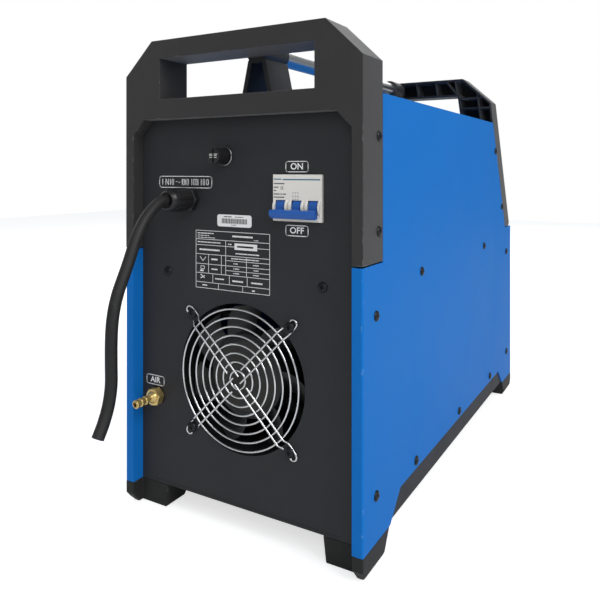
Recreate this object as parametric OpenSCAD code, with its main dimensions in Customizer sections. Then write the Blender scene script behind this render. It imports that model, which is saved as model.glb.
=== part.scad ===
// Plasma cutter power unit: folded steel casing between two plastic carrying frames.
// Frame: +Y is the rear (mains side), -Y the front (controls), +X the left side seen from
// behind, +Z up. The origin is on the floor below the middle of the casing.

/* [Casing] */
// Width over the two side panels
body_w = 286; // [282:1:310]
// Length from the rear strips to the front strips
body_l = 600; // [590:1:660]
// Height of the top edge of the side panels above the floor
side_top_z = 439; // [432:1:450]
// Thickness of every sheet-metal piece
sheet_t = 1.5; // [1:0.1:2]
// Width of the strips folded in at the ends of the side panels
strip_w = 11; // [9:0.5:14]
// Depth of the end panels behind the strips
recess_d = 15; // [12:0.5:18]
// Height of the shoulders below the rear frame
rear_shoulder_z = 280; // [275:1:290]
// Height of the shoulders below the front frame
front_shoulder_z = 273; // [268:1:285]
// Depth of the shoulders below the front frame
front_shoulder_d = 41; // [38:1:46]
// Height of the notch in the bottom edge of each side panel
notch_h = 25; // [15:1:32]
// Distance from the ends of the casing to the notch
notch_inset = 63; // [63:1:80]
// Run of the slanted ends of the notch
notch_run = 27; // [15:1:35]

/* [End frames] */
// Rise of both end frames above the top edge of the side panels
frame_rise = 66; // [61:1:81]
// Depth of the rear frame
rear_frame_d = 45; // [40:1:50]
// Depth of the front frame, measured level
front_frame_d = 33; // [30:1:38]
// Lean of the front frame from the vertical
front_lean = 26.3; // [22:0.1:29]
// Width of the chamfers on the top corners
frame_chamfer_w = 37.5; // [30:0.5:42]
// Height of the chamfers on the top corners
frame_chamfer_h = 36; // [28:0.5:40]
// Distance from the side of the casing to the hand windows
window_inset = 49; // [44:1:60]
// Height of the bar above the rear hand window
rear_bar_h = 19.5; // [16:0.5:22]
// Height of the rear hand window
rear_window_h = 43.5; // [38:0.5:46]
// Height of the bar above the front hand window
front_bar_h = 25; // [21:0.5:28]
// Height of the front hand window
front_window_h = 35; // [30:0.5:40]
// Height of the sill between the rear hand window and the recess below it
sill_h = 21; // [18:0.5:26]
// Chamfer in the top corners of the recess
recess_chamfer = 16; // [10:1:20]
// Gap between a frame's posts and the shoulders below them
post_gap = 1.5; // [0.5:0.1:2]
// Wall of the front frame round its hollow back
frame_wall = 3; // [2.5:0.1:4]
// Thickness of the ribs in the hollow back
rib_t = 1.6; // [1:0.1:2.2]
// Spacing of the ribs in the hollow back
rib_pitch = 31; // [26:1:38]

/* [Carrying tube] */
// Outer diameter of the carrying tube
tube_d = 19; // [17:0.5:21]
// Wall of the carrying tube
tube_wall = 1.5; // [1:0.1:2.5]
// Distance of the tube's axis below the top of the end frames
tube_drop = 13; // [11:0.5:15]
// Outer diameter of the tube's sockets
socket_d = 26; // [24.5:0.5:28]
// Length of the rear tube bracket
rear_bracket_l = 45; // [35:1:60]
// Length of the front tube bracket
front_bracket_l = 32; // [25:1:45]
// Thickness of the brackets' legs
bracket_leg_t = 5; // [3.5:0.5:6]
// Half spread of the brackets' legs on the top cover
bracket_spread = 20; // [18:1:26]

/* [Feet] */
// Height of the feet
foot_h = 25; // [20:1:30]
// Length of a foot at its top
foot_l = 62; // [55:1:63]
// Width of a foot at its top
foot_w = 48; // [40:1:60]
// Setback of the foot's sole from the end of the casing
foot_back = 10; // [6:1:14]
// Length of the foot's sole
foot_sole_l = 36; // [25:1:40]
// Height of the chamfer at the foot's end
foot_bumper_z = 12; // [4:1:16]
// Height of the chamfer at the foot's side
foot_side_z = 6; // [3:1:12]

/* [Inner sheets] */
// Height of the bolting flanges of the base tray
tray_flange_h = 42; // [38:1:50]
// Height of the underside of the shelf
shelf_z = 250; // [248:1:254]
// Height of the shelf's bolting flanges
shelf_flange_h = 14; // [12:1:18]
// Length of the end panels' bolting flanges
panel_flange_l = 28; // [28:1:36]
// Width of the bolting flanges of the top cover
cover_flange_h = 24; // [18:1:26]

/* [Screws] */
// Head diameter of the casing screws
screw_head_d = 10; // [8:0.5:11]
// Head height of the casing screws
screw_head_h = 2.2; // [1.5:0.1:3]
// Shank diameter of the casing screws
screw_d = 4; // [3.5:0.1:5]
// Distance of the shelf's screws on the rear panel from the middle of the casing
rear_screw_x = 95; // [80:1:110]
// Distance of the rear corner screws from the rear panel
rear_corner_in = 14; // [10:1:20]
// Distance of the front corner screws from the front panel
front_corner_in = 19; // [10:1:22]
// Distance of the upper corner screws below the shelf
corner_drop = 17; // [12:1:24]
// Height of the lower corner screws above the tray
corner_rise = 41.5; // [30:0.5:50]
// Height of the tray's screws above it
tray_screw_rise = 32; // [20:1:38]
// Pitch of the tray's screws
tray_screw_pitch = 160; // [120:5:180]
// Middle of the tray's row of screws
tray_screw_mid = 5; // [-10:1:20]
// Pitch of the shelf's screws
shelf_screw_pitch = 268; // [200:2:280]
// Middle of the shelf's row of screws
shelf_screw_mid = 13; // [-10:1:20]
// Distance of the front frame's screws behind the edge of the side panels
frame_screw_in = 7; // [6:0.5:9]
// Distance of the rear frame's screws from the end of the casing
post_screw_in = 35; // [20:1:38]
// Height of the lower rear frame screws above the rear shoulder
rear_screw_rise = 30; // [20:1:40]
// Height of the lower front frame screws above the front shoulder
front_screw_rise = 35; // [20:1:40]
// Pitch of the frame screws on a post
frame_screw_pitch = 88; // [60:1:96]

/* [Fan] */
// Height of the fan's axis
fan_z = 155.5; // [150:0.5:160]
// Diameter of the hole in the rear panel
fan_hole_d = 152; // [148:1:154]
// Half pitch of the fan's screws
fan_screw_pitch = 60; // [59:0.5:64]
// Depth of the fan
fan_depth = 50; // [45:1:56]
// Wall of the fan's ring
fan_wall = 4; // [2.5:0.5:5]
// Diameter of the rotor's hub
fan_hub_d = 88; // [70:1:92]
// Number of rotor blades
fan_blades = 7; // [5:1:9]
// Angle of a blade from the plane of the fan
blade_tilt = 32; // [20:1:36]
// Diameter of the fan's shaft
fan_shaft_d = 8; // [5:0.5:10]
// Number of rings of the guard
guard_rings = 8; // [5:1:8]
// Radius of the innermost ring of the guard
guard_first_r = 9.2; // [8:0.1:11]
// Step from one ring to the next
guard_step = 8.83; // [8:0.01:9.2]
// Thickness of the guard's wire
guard_wire = 2.2; // [1.6:0.1:2.6]
// Half gap between the two wires of a guard leg
guard_leg_half = 4.5; // [3.6:0.1:5.5]

/* [Breaker] */
// Distance of the breaker's middle from the middle of the casing
breaker_x = -68.5; // [-75:0.5:-62]
// Height of the breaker's middle
breaker_z = 340; // [330:1:345]
// Width of one pole of the breaker
pole_w = 18; // [17:0.1:18.5]
// Number of poles
poles = 3; // [1:1:3]
// Height of the breaker's nose
nose_h = 45; // [44:0.1:46]
// Distance the nose stands out of the rear panel
nose_out = 3; // [1:0.5:6]
// Height of the breaker's housing
breaker_h = 85; // [80:1:90]
// Depth of the breaker's housing behind the rear panel
breaker_d = 62; // [55:1:68]
// Distance from the pivot of the toggles to the middle of their tie bar
toggle_r = 16; // [15.5:0.5:18]
// Height of the nose's middle above the pivot of the toggles
toggle_drop = 9; // [8:0.5:10]
// Radius of the drum of each toggle
drum_r = 8.6; // [8:0.1:8.8]
// Swing of the toggles from OFF to ON
toggle_swing = 47; // [40:1:48]
// Width of one toggle
toggle_w = 9; // [6:0.5:10]
// Distance the collars beside the toggles stand out of the nose
collar_out = 3.2; // [1:0.1:3.4]

/* [Cable gland and cord] */
// Distance of the cable gland from the middle of the casing
gland_x = 64.7; // [60:0.1:70]
// Height of the cable gland
gland_z = 336; // [330:1:342]
// Diameter of the gland's thread
gland_thread_d = 20; // [18:0.5:22]
// Diameter of the gland's hexagon across its corners
gland_hex_d = 27; // [25:0.5:30]
// Distance the gland stands out of the rear panel
gland_out = 38; // [34:1:40]
// Diameter of the mains cord
cord_d = 11.4; // [11:0.1:13]

/* [Fuse] */
// Distance of the fuse from the middle of the casing
fuse_x = 18.5; // [14:0.5:24]
// Height of the fuse
fuse_z = 381; // [374:1:386]
// Diameter of the fuse holder's flange
fuse_flange_d = 20.5; // [19:0.5:23]
// Diameter of the fuse cap
fuse_cap_d = 15.7; // [14:0.1:18]
// Distance the fuse cap stands out of the rear panel
fuse_out = 20; // [16:1:26]
// Length of the fuse link
fuse_link_l = 25; // [20:1:28]
// Diameter of the fuse link
fuse_link_d = 6.3; // [5:0.1:6.6]

/* [Air inlet] */
// Distance of the air inlet from the side of the casing
air_inset = 33; // [29:0.5:38]
// Height of the air inlet
air_z = 120; // [112:1:128]
// Diameter of the inlet's hexagon across its corners
air_hex_d = 20; // [18:0.5:22]
// Distance the inlet stands out of the rear panel
air_out = 35; // [32:1:38]
// Diameter over the barbs
barb_d = 8.9; // [8:0.1:9.6]
// Number of barbs
barbs = 3; // [2:1:4]
// Diameter of the bore through the inlet
air_bore_d = 5; // [3:0.5:6]
// Outer diameter of the inner air hose
hose_d = 12; // [10:0.5:13]
// Width of the air valve's body
valve_w = 28; // [22:1:32]
// Length of the air valve's body
valve_l = 40; // [30:1:50]
// Distance of the air valve's rear face from the front panel
valve_back = 150; // [145:1:160]

/* [Front sockets] */
// Height of the two output sockets
socket_z = 95; // [88:1:110]
// Distance of the torch connector from the middle of the casing
torch_x = 62; // [55:1:70]
// Distance of the work lead's socket from the middle of the casing
work_x = -62; // [-70:1:-55]
// Distance the torch connector stands out of the front panel
torch_out = 38; // [34:1:38]
// Diameter of the torch connector's barrel
torch_d = 40; // [36:1:44]
// Diameter of the bore that takes the torch's pin
torch_bore_d = 16; // [12:0.5:20]
// Diameter of the work socket's flange
work_d = 46; // [42:1:52]
// Distance the work socket stands out of the front panel
work_out = 22; // [18:1:30]
// Diameter of the bore that takes the work lead's plug
work_bore_d = 13.2; // [12.8:0.1:13.6]
// Depth of the bores of both sockets
socket_bore_l = 30; // [24:1:34]
// Number of louvre slots in the front panel
louvres = 9; // [4:1:10]

/* [Controls] */
// Distance of the control fascia behind the front of its frame, measured level
fascia_recess = 14; // [12:0.5:16]
// Thickness of the control fascia
fascia_t = 3; // [2:0.5:4]
// Diameter of the current knob
knob_d = 36; // [30:1:40]
// Height of the current knob
knob_h = 12; // [8:0.5:14]
// Diameter of the control shafts
shaft_d = 6; // [5:0.5:7]
// Diameter of a push button
button_d = 12; // [9:0.5:14]
// Travel of a push button
button_travel = 1.5; // [1:0.1:2]
// Pitch of the push buttons
button_pitch = 26; // [22:1:30]
// Diameter of the pressure gauge
gauge_d = 42; // [38:1:46]
// Diameter of the pressure regulator's knob
regulator_knob_d = 28; // [24:1:34]
// Width of the display window
display_w = 78; // [60:1:84]
// Height of the display window
display_h = 36; // [28:1:40]

/* [Electrics] */
// Distance of the heat sinks' middle behind the middle of the casing
sink_y = 50; // [40:1:60]
// Length of the heat sinks
sink_l = 220; // [160:5:240]
// Width of a heat sink
sink_w = 80; // [60:1:90]
// Height of a heat sink
sink_h = 60; // [40:1:80]
// Number of fins of a heat sink
sink_fins = 9; // [5:1:11]
// Width of a power module
module_w = 62; // [50:1:70]
// Length of a power module
module_l = 92; // [70:1:100]
// Height of a power module
module_h = 30; // [20:1:34]
// Width of a rectifier
rectifier_w = 34; // [25:1:40]
// Height of a rectifier
rectifier_h = 22; // [15:1:28]
// Width of the main transformer
transformer_w = 110; // [90:1:116]
// Length of the main transformer
transformer_l = 60; // [50:1:80]
// Height of the main transformer's core
transformer_h = 80; // [60:1:90]
// Thickness of the ends of the core
core_t = 16; // [10:1:20]
// Diameter of the output inductor
inductor_d = 96; // [80:1:104]
// Height of the output inductor
inductor_h = 44; // [30:1:60]
// Distance of the transformer from the middle of the casing
transformer_in = 10; // [6:1:14]
// Gap between the transformer and the output inductor
inductor_gap = 2; // [1:0.5:6]
// Gap between the output inductor and the front panel
inductor_back = 5; // [4:0.5:8]
// Width of the power board
board_w = 220; // [180:2:240]
// Length of the power board
board_l = 310; // [260:2:330]
// Diameter of a capacitor
capacitor_d = 35; // [25:1:40]
// Height of a capacitor
capacitor_h = 50; // [40:1:60]
// Thickness of the circuit boards
board_t = 2; // [1.5:0.1:3]
// Height of the stand-offs below the circuit boards
standoff_h = 10; // [6:1:14]

/* [Hidden] */
$fn = 64;

hw = body_w / 2;
hl = body_l / 2;
frame_top_z = side_top_z + frame_rise;
rear_window_z = frame_top_z - rear_bar_h - rear_window_h;
front_window_z = frame_top_z - front_bar_h - front_window_h;
recess_top_z = rear_window_z - sill_h;
tube_z = frame_top_z - tube_drop;
air_x = hw - air_inset;
// Clearance between pieces that are bolted or clipped together
fit = 0.3;
// Radial clearance of the shafts that turn
running = 0.05;
// Radial clearance round the shanks of screws
shank_gap = 0.3;
eps = 1;

// Sides: inner faces of the panels and of the strips
inner_x = hw - sheet_t - fit;
post_x = hw - strip_w;
// End panels: outer faces, and the lowest edge of the sheets
panel_y = hl - recess_d;
panel_z = foot_h + fit;
rear_frame_y = hl - rear_frame_d;
tray_z = panel_z + sheet_t;
tray_top = tray_z + sheet_t;
shelf_top = shelf_z + sheet_t;
flange_end_y = panel_y - panel_flange_l - fit;
// Level step from one face of the fascia to the other
fascia_level_t = fascia_t / cos(front_lean);
fascia_z = front_shoulder_z + 3;
control_row = 34;
control_mid = 84;
control_top = 122;
screw_shank = screw_d / 2;
screw_depth = 2 * sheet_t + 4;
barb_wall = 1.2;
barb_step = 6.5;
fan_back_y = panel_y - sheet_t;
fan_bore_r = fan_hole_d / 2;
rotor_front = 8;
rotor_back = 26;
toggle_y = panel_y + nose_out - 7;
toggle_z = breaker_z - toggle_drop;
pin_r = 2;
encoder_d = 16;
button_out = 3;
knob_gap = 1;
gauge_out = 6;

// Back face of the front frame, which is also the front edge of the side panels
function front_back_y(z) =
    -(hl - front_shoulder_d) + (z - front_shoulder_z) * tan(front_lean);
// Outer face of the control fascia
function fascia_y(z) = front_back_y(z) - fit - front_frame_d + fascia_recess;

// Casing screws on each side: [distance along Y, height, depth of the shank]
side_screws = [
    for (z = [shelf_z - corner_drop, tray_z + corner_rise])
        [panel_y - rear_corner_in, z, screw_depth],
    for (i = [-1 : 1]) [tray_screw_mid + i * tray_screw_pitch, tray_z + tray_screw_rise, screw_depth],
    for (i = [-0.5, 0.5])
        [shelf_screw_mid + i * shelf_screw_pitch, shelf_z + shelf_flange_h / 2, screw_depth],
    for (z = [shelf_z - corner_drop, tray_z + corner_rise])
        [-panel_y + front_corner_in, z, screw_depth],
    for (i = [0, 1], z = front_shoulder_z + front_screw_rise + i * frame_screw_pitch)
        [front_back_y(z) + frame_screw_in, z, screw_depth],
    for (i = [0, 1], z = rear_shoulder_z + rear_screw_rise + i * frame_screw_pitch)
        [hl - post_screw_in, z, strip_w + sheet_t + 2]
];

// Mains cord: [distance along Y, height], in the plane of the gland's axis
cord_route = [
    [323, 336], [332, 334], [342, 328], [351, 320], [358, 311], [364, 301],
    [369, 290], [374, 279], [380, 267], [386, 255], [391, 241], [394, 225],
    [395, 207], [395, 189], [395, 171], [398, 154], [404, 139], [411, 127]
];
cord_sides = 10;

// Box between [low, high] pairs
module slab(x, y, z) {
    translate([x[0], y[0], z[0]])
        cube([x[1] - x[0], y[1] - y[0], z[1] - z[0]]);
}

// Prism along X of an outline drawn in Y and Z
module along_x(x0, x1) {
    translate([x0, 0, 0])
        rotate([90, 0, 90])
            linear_extrude(x1 - x0)
                children();
}

// Prism along Y of an outline drawn in X and Z
module along_y(y0, y1) {
    translate([0, y1, 0])
        rotate([90, 0, 0])
            linear_extrude(y1 - y0)
                children();
}

// Round bar along X
module bar_x(y, z, x0, x1, r) {
    translate([x0, y, z])
        rotate([0, 90, 0])
            cylinder(h = x1 - x0, r = r);
}

// Round bar along Y
module bar_y(x, z, y0, y1, r, sides = 64) {
    translate([x, y0, z])
        rotate([-90, 0, 0])
            cylinder(h = y1 - y0, r = r, $fn = sides);
}

// Turned piece along +Y of a [radius, height] profile
module turned_y(x, z, y0, profile) {
    translate([x, y0, z])
        rotate([-90, 0, 0])
            rotate_extrude()
                polygon(profile);
}

module both_sides() {
    children();
    mirror([1, 0, 0])
        children();
}

module one_side(left) {
    mirror([left ? 0 : 1, 0, 0])
        children();
}

// Place on the outer face of the fascia: +Z outwards, +Y up the slope
module on_fascia(x, s) {
    translate([x, fascia_y(fascia_z) + s * sin(front_lean), fascia_z + s * cos(front_lean)])
        rotate([90 - front_lean, 0, 0])
            children();
}

module side_shanks(gap) {
    both_sides()
        for (s = side_screws)
            bar_x(s[0], s[1], hw - s[2], hw + eps, screw_shank + gap);
}

// ---------------------------------------------------------------- casing

module side_outline() {
    difference() {
        polygon([
            [hl, foot_h], [hl, rear_shoulder_z], [rear_frame_y - fit, rear_shoulder_z],
            [rear_frame_y - fit, side_top_z], [front_back_y(side_top_z), side_top_z],
            [front_back_y(front_shoulder_z), front_shoulder_z],
            [-hl, front_shoulder_z], [-hl, foot_h]
        ]);
        polygon([
            [hl - notch_inset, foot_h - eps], [hl - notch_inset, foot_h],
            [hl - notch_inset - notch_run, foot_h + notch_h],
            [-hl + notch_inset + notch_run, foot_h + notch_h],
            [-hl + notch_inset, foot_h], [-hl + notch_inset, foot_h - eps]
        ]);
    }
}

// Strip and return folded in at one end of a side panel
module side_fold(y_out, y_in, top) {
    face = y_out > y_in ? [y_out - sheet_t, y_out] : [y_out, y_out + sheet_t];
    slab([post_x, hw], face, [foot_h, top]);
    slab([post_x, post_x + sheet_t], [min(y_in, y_out), max(y_in, y_out)], [foot_h, top]);
}

module side_panel(left) {
    color([0.16, 0.44, 0.80])
        one_side(left)
            difference() {
                union() {
                    along_x(hw - sheet_t, hw)
                        side_outline();
                    side_fold(hl, panel_y, rear_shoulder_z);
                    side_fold(-hl, -panel_y, front_shoulder_z);
                }
                side_shanks(shank_gap);
            }
}

module left_side_panel() side_panel(true);
module right_side_panel() side_panel(false);

module top_cover() {
    y0 = front_back_y(side_top_z) + fit;
    y1 = rear_frame_y - fit;
    color([0.16, 0.44, 0.80]) {
        slab([-inner_x, inner_x], [y0, y1], [side_top_z - sheet_t, side_top_z]);
        both_sides()
            slab([inner_x - sheet_t, inner_x], [y0, y1],
                 [side_top_z - cover_flange_h, side_top_z - sheet_t / 2]);
    }
}

module base_tray() {
    narrow_x = inner_x - sheet_t - fit;
    color([0.10, 0.10, 0.11])
        difference() {
            union() {
                slab([-inner_x, inner_x], [-flange_end_y, flange_end_y], [tray_z, tray_top]);
                slab([-narrow_x, narrow_x], [-panel_y + sheet_t + fit, panel_y - sheet_t - fit],
                     [tray_z, tray_top]);
                both_sides()
                    slab([inner_x - sheet_t, inner_x], [-flange_end_y, flange_end_y],
                         [tray_z, tray_z + tray_flange_h]);
            }
            side_shanks(shank_gap);
        }
}

module mid_shelf() {
    narrow_x = inner_x - sheet_t - fit;
    shelf_setback = 40;
    front_y = fascia_y(shelf_z) + shelf_setback;
    rear_y = panel_y - sheet_t - fit;
    color([0.55, 0.56, 0.58])
        difference() {
            union() {
                slab([-inner_x, inner_x], [front_y, flange_end_y], [shelf_z, shelf_top]);
                slab([-narrow_x, narrow_x], [front_y, rear_y], [shelf_z, shelf_top]);
                slab([-narrow_x, narrow_x], [rear_y - sheet_t, rear_y],
                     [shelf_z, shelf_z + shelf_flange_h]);
                both_sides()
                    slab([inner_x - sheet_t, inner_x], [front_y, flange_end_y],
                         [shelf_z, shelf_z + shelf_flange_h]);
            }
            side_shanks(shank_gap);
            rear_shelf_shanks(shank_gap);
        }
}

module rear_shelf_shanks(gap) {
    both_sides()
        bar_y(rear_screw_x, shelf_z + shelf_flange_h / 2, panel_y - screw_depth,
              panel_y + eps, screw_shank + gap);
}

// Recess between the posts of a frame, shrunk by a gap
module recess_outline(low_z, gap) {
    x = post_x - gap;
    c = recess_chamfer;
    z = recess_top_z - gap;
    polygon([[x, low_z], [x, z - c], [x - c, z], [-x + c, z], [-x, z - c], [-x, low_z]]);
}

module fan_screw_places() {
    for (x = [-1, 1], z = [-1, 1])
        translate([x * fan_screw_pitch, 0, fan_z + z * fan_screw_pitch])
            children();
}

module rear_panel() {
    color([0.13, 0.14, 0.15])
        difference() {
            union() {
                along_y(panel_y - sheet_t, panel_y) {
                    translate([-inner_x, panel_z])
                        square([2 * inner_x, rear_shoulder_z - panel_z]);
                    recess_outline(rear_shoulder_z - eps, fit);
                }
                both_sides() {
                    slab([inner_x - sheet_t, inner_x], [panel_y - panel_flange_l, panel_y],
                         [panel_z, rear_shoulder_z]);
                    slab([post_x - fit - sheet_t, post_x - fit],
                         [panel_y - panel_flange_l, panel_y],
                         [rear_shoulder_z + post_gap, recess_top_z - recess_chamfer - fit]);
                }
                slab([-inner_x, inner_x], [panel_y - panel_flange_l, panel_y],
                     [panel_z, tray_z]);
            }
            side_shanks(shank_gap);
            rear_shelf_shanks(shank_gap);
            bar_y(0, fan_z, panel_y - sheet_t - eps, panel_y + eps, fan_bore_r);
            fan_screw_places()
                bar_y(0, 0, panel_y - sheet_t - eps, panel_y + eps, screw_shank + shank_gap);
            slab([breaker_x - poles * pole_w / 2 - fit, breaker_x + poles * pole_w / 2 + fit],
                 [panel_y - sheet_t - eps, panel_y + eps],
                 [breaker_z - nose_h / 2 - fit, breaker_z + nose_h / 2 + fit]);
            bar_y(gland_x, gland_z, panel_y - sheet_t - eps, panel_y + eps,
                  gland_thread_d / 2 + fit);
            bar_y(fuse_x, fuse_z, panel_y - sheet_t - eps, panel_y + eps,
                  fuse_cap_d / 2 + fit);
            bar_y(air_x, air_z, panel_y - sheet_t - eps, panel_y + eps,
                  air_hex_d / 2 - 3 + fit);
        }
}

module front_panel() {
    louvre_pitch = 10;
    louvre_h = 4;
    louvre_rise = 55;
    louvre_x = [30, 100];
    color([0.13, 0.14, 0.15])
        difference() {
            union() {
                slab([-inner_x, inner_x], [-panel_y, -panel_y + sheet_t],
                     [panel_z, front_shoulder_z]);
                both_sides()
                    slab([inner_x - sheet_t, inner_x],
                         [-panel_y, -panel_y + panel_flange_l], [panel_z, front_shoulder_z]);
                slab([-inner_x, inner_x], [-panel_y, -panel_y + panel_flange_l],
                     [panel_z, tray_z]);
                slab([-post_x, post_x], [-panel_y, fascia_y(front_shoulder_z)],
                     [front_shoulder_z - sheet_t, front_shoulder_z]);
            }
            side_shanks(shank_gap);
            both_sides()
                for (i = [0 : louvres - 1])
                    translate([0, 0, socket_z + louvre_rise + i * louvre_pitch])
                        slab(louvre_x, [-panel_y - eps, -panel_y + sheet_t + eps],
                             [0, louvre_h]);
            bar_y(torch_x, socket_z, -panel_y - eps, -panel_y + sheet_t + eps,
                  torch_d / 2 - 4 + fit);
            bar_y(work_x, socket_z, -panel_y - eps, -panel_y + sheet_t + eps,
                  work_bore_d / 2 + 5 + fit);
        }
}

module foot(left, rear) {
    sole_in = foot_w - 3;
    one_side(left)
        mirror([0, rear ? 0 : 1, 0])
            color([0.07, 0.07, 0.08])
                difference() {
                    intersection() {
                        along_x(0, hw + eps)
                            polygon([
                                [hl, foot_h], [hl, foot_bumper_z], [hl - foot_back, 0],
                                [hl - foot_back - foot_sole_l, 0], [hl - foot_l, foot_h]
                            ]);
                        along_y(0, hl + eps)
                            polygon([
                                [hw, foot_h], [hw, foot_side_z], [hw - 4, 0],
                                [hw - sole_in, 0], [hw - foot_w, foot_h]
                            ]);
                    }
                    slab([0, post_x], [panel_y, hl + eps], [-eps, foot_h + eps]);
                }
}

module rear_left_foot() foot(true, true);
module rear_right_foot() foot(false, true);
module front_left_foot() foot(true, false);
module front_right_foot() foot(false, false);

// ---------------------------------------------------------------- frames

// Front view of an end frame, shrunk by a wall: posts, recess and hand window
module frame_outline(low_z, window_z, window_h, wall = 0) {
    x = hw - wall;
    top = frame_top_z - wall;
    chamfer_x = hw - frame_chamfer_w - wall * frame_chamfer_w / (frame_chamfer_w + frame_chamfer_h);
    chamfer_z = frame_top_z - frame_chamfer_h
        - wall * frame_chamfer_h / (frame_chamfer_w + frame_chamfer_h);
    difference() {
        polygon([
            [x, low_z], [x, chamfer_z], [chamfer_x, top], [-chamfer_x, top],
            [-x, chamfer_z], [-x, low_z]
        ]);
        recess_outline(low_z - eps, -wall);
        translate([-hw + window_inset - wall, window_z - wall])
            square([2 * (hw - window_inset + wall), window_h + 2 * wall]);
    }
}

// Straight and diagonal ribs across the hollow back of the front frame
module frame_ribs() {
    low = recess_top_z;
    rows = [low + 12, front_window_z + front_window_h / 2, frame_top_z - frame_chamfer_h + 8];
    for (i = [-4 : 4])
        translate([i * rib_pitch - rib_t / 2, low])
            square([rib_t, frame_top_z - low]);
    for (s = [-1, 1])
        translate([s * (hw - window_inset), front_window_z + front_window_h])
            rotate([0, 0, s * 34])
                translate([-rib_t / 2, -eps])
                    square([rib_t, frame_chamfer_h]);
    for (z = rows, s = [-1, 1])
        translate([s * (hw - window_inset / 2), z])
            square([window_inset, rib_t], center = true);
}

module rear_frame() {
    color([0.18, 0.18, 0.18])
        difference() {
            along_y(rear_frame_y, hl)
                frame_outline(rear_shoulder_z + post_gap, rear_window_z, rear_window_h);
            side_shanks(shank_gap);
        }
}

// Side view of the front frame, between its two leaning faces
module front_frame_side() {
    low = front_shoulder_z + post_gap;
    polygon([
        [front_back_y(low) - fit, low],
        [front_back_y(frame_top_z) - fit, frame_top_z],
        [front_back_y(frame_top_z) - fit - front_frame_d, frame_top_z],
        [front_back_y(low + 6) - fit - front_frame_d, low + 6],
        [front_back_y(low) - fit - front_frame_d + 5, low]
    ]);
}

module front_frame() {
    low = front_shoulder_z + post_gap;
    lug_top = side_top_z - cover_flange_h - 2;
    color([0.18, 0.18, 0.18])
        difference() {
            union() {
                difference() {
                    intersection() {
                        along_x(-hw, hw)
                            front_frame_side();
                        along_y(-hl - eps, 0)
                            frame_outline(low, front_window_z, front_window_h);
                    }
                    intersection() {
                        translate([0, frame_wall, 0])
                            along_x(-hw, hw)
                                front_frame_side();
                        along_y(-hl, 0)
                            difference() {
                                frame_outline(recess_top_z, front_window_z, front_window_h,
                                              frame_wall);
                                frame_ribs();
                            }
                    }
                }
                both_sides()
                    along_x(inner_x - 3, inner_x)
                        polygon([
                            [front_back_y(low) - 2, low],
                            [front_back_y(lug_top) - 2, lug_top],
                            [front_back_y(lug_top) + 16, lug_top],
                            [front_back_y(low) + 16, low]
                        ]);
            }
            side_shanks(shank_gap);
        }
}

// Leg of a tube bracket, standing on the top cover
module bracket_leg() {
    top = tube_z - socket_d / 2 + 4;
    polygon([
        [socket_d / 2 - 2 - bracket_leg_t, top], [socket_d / 2 - 2, top],
        [bracket_spread, side_top_z + 3], [bracket_spread + 12, side_top_z + 3],
        [bracket_spread + 12, side_top_z], [bracket_spread - bracket_leg_t, side_top_z]
    ]);
}

module tube_bracket(y0, y1, blind_y0, blind_y1) {
    color([0.11, 0.11, 0.12])
        difference() {
            union() {
                bar_y(0, tube_z, y0, y1, socket_d / 2);
                both_sides()
                    along_y(y0, y1)
                        bracket_leg();
            }
            bar_y(0, tube_z, blind_y0, blind_y1, tube_d / 2 + running);
        }
}

bracket_end = 4;
rear_bracket_y = rear_frame_y - fit;
front_bracket_y = front_back_y(tube_z + socket_d / 2) + fit;

module rear_tube_bracket() {
    tube_bracket(rear_bracket_y - rear_bracket_l, rear_bracket_y,
                 rear_bracket_y - rear_bracket_l - eps, rear_bracket_y - bracket_end);
}

module front_tube_bracket() {
    tube_bracket(front_bracket_y, front_bracket_y + front_bracket_l,
                 front_bracket_y + bracket_end, front_bracket_y + front_bracket_l + eps);
}

module carry_tube() {
    y0 = front_bracket_y + bracket_end + fit;
    y1 = rear_bracket_y - bracket_end - fit;
    color([0.78, 0.79, 0.80])
        difference() {
            bar_y(0, tube_z, y0, y1, tube_d / 2);
            bar_y(0, tube_z, y0 - eps, y1 + eps, tube_d / 2 - tube_wall);
        }
}

// ---------------------------------------------------------------- screws

module casing_screws() {
    color([0.12, 0.12, 0.13])
        both_sides()
            for (s = side_screws) {
                bar_x(s[0], s[1], hw - s[2], hw + eps, screw_shank);
                bar_x(s[0], s[1], hw, hw + screw_head_h, screw_head_d / 2);
            }
}

module panel_screws() {
    z = shelf_z + shelf_flange_h / 2;
    color([0.12, 0.12, 0.13])
        both_sides() {
            bar_y(rear_screw_x, z, panel_y - screw_depth, panel_y + eps, screw_shank);
            bar_y(rear_screw_x, z, panel_y, panel_y + screw_head_h, screw_head_d / 2);
        }
}

// ---------------------------------------------------------------- fan

fan_ring_r = fan_bore_r + fan_wall;
motor_r = fan_hub_d / 2 - 4;
motor_y = fan_back_y - rotor_back - 2;

module fan_ring() {
    color([0.08, 0.08, 0.09])
        difference() {
            union() {
                difference() {
                    union() {
                        bar_y(0, fan_z, fan_back_y - fan_depth, fan_back_y, fan_ring_r);
                        fan_screw_places()
                            bar_y(0, 0, fan_back_y - 6, fan_back_y, 8);
                    }
                    bar_y(0, fan_z, fan_back_y - fan_depth - eps, fan_back_y + eps,
                          fan_bore_r);
                }
                bar_y(0, fan_z, fan_back_y - fan_depth, motor_y, motor_r);
                bar_y(0, fan_z, motor_y - eps, motor_y + 12, fan_shaft_d / 2);
                for (a = [45, -45])
                    translate([0, 0, fan_z])
                        rotate([0, a, 0])
                            slab([-fan_bore_r - 1, fan_bore_r + 1],
                                 [fan_back_y - fan_depth, fan_back_y - fan_depth + 6],
                                 [-4, 4]);
            }
            fan_screw_places()
                bar_y(0, 0, fan_back_y - 7, fan_back_y + eps, screw_shank + shank_gap);
        }
}

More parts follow.
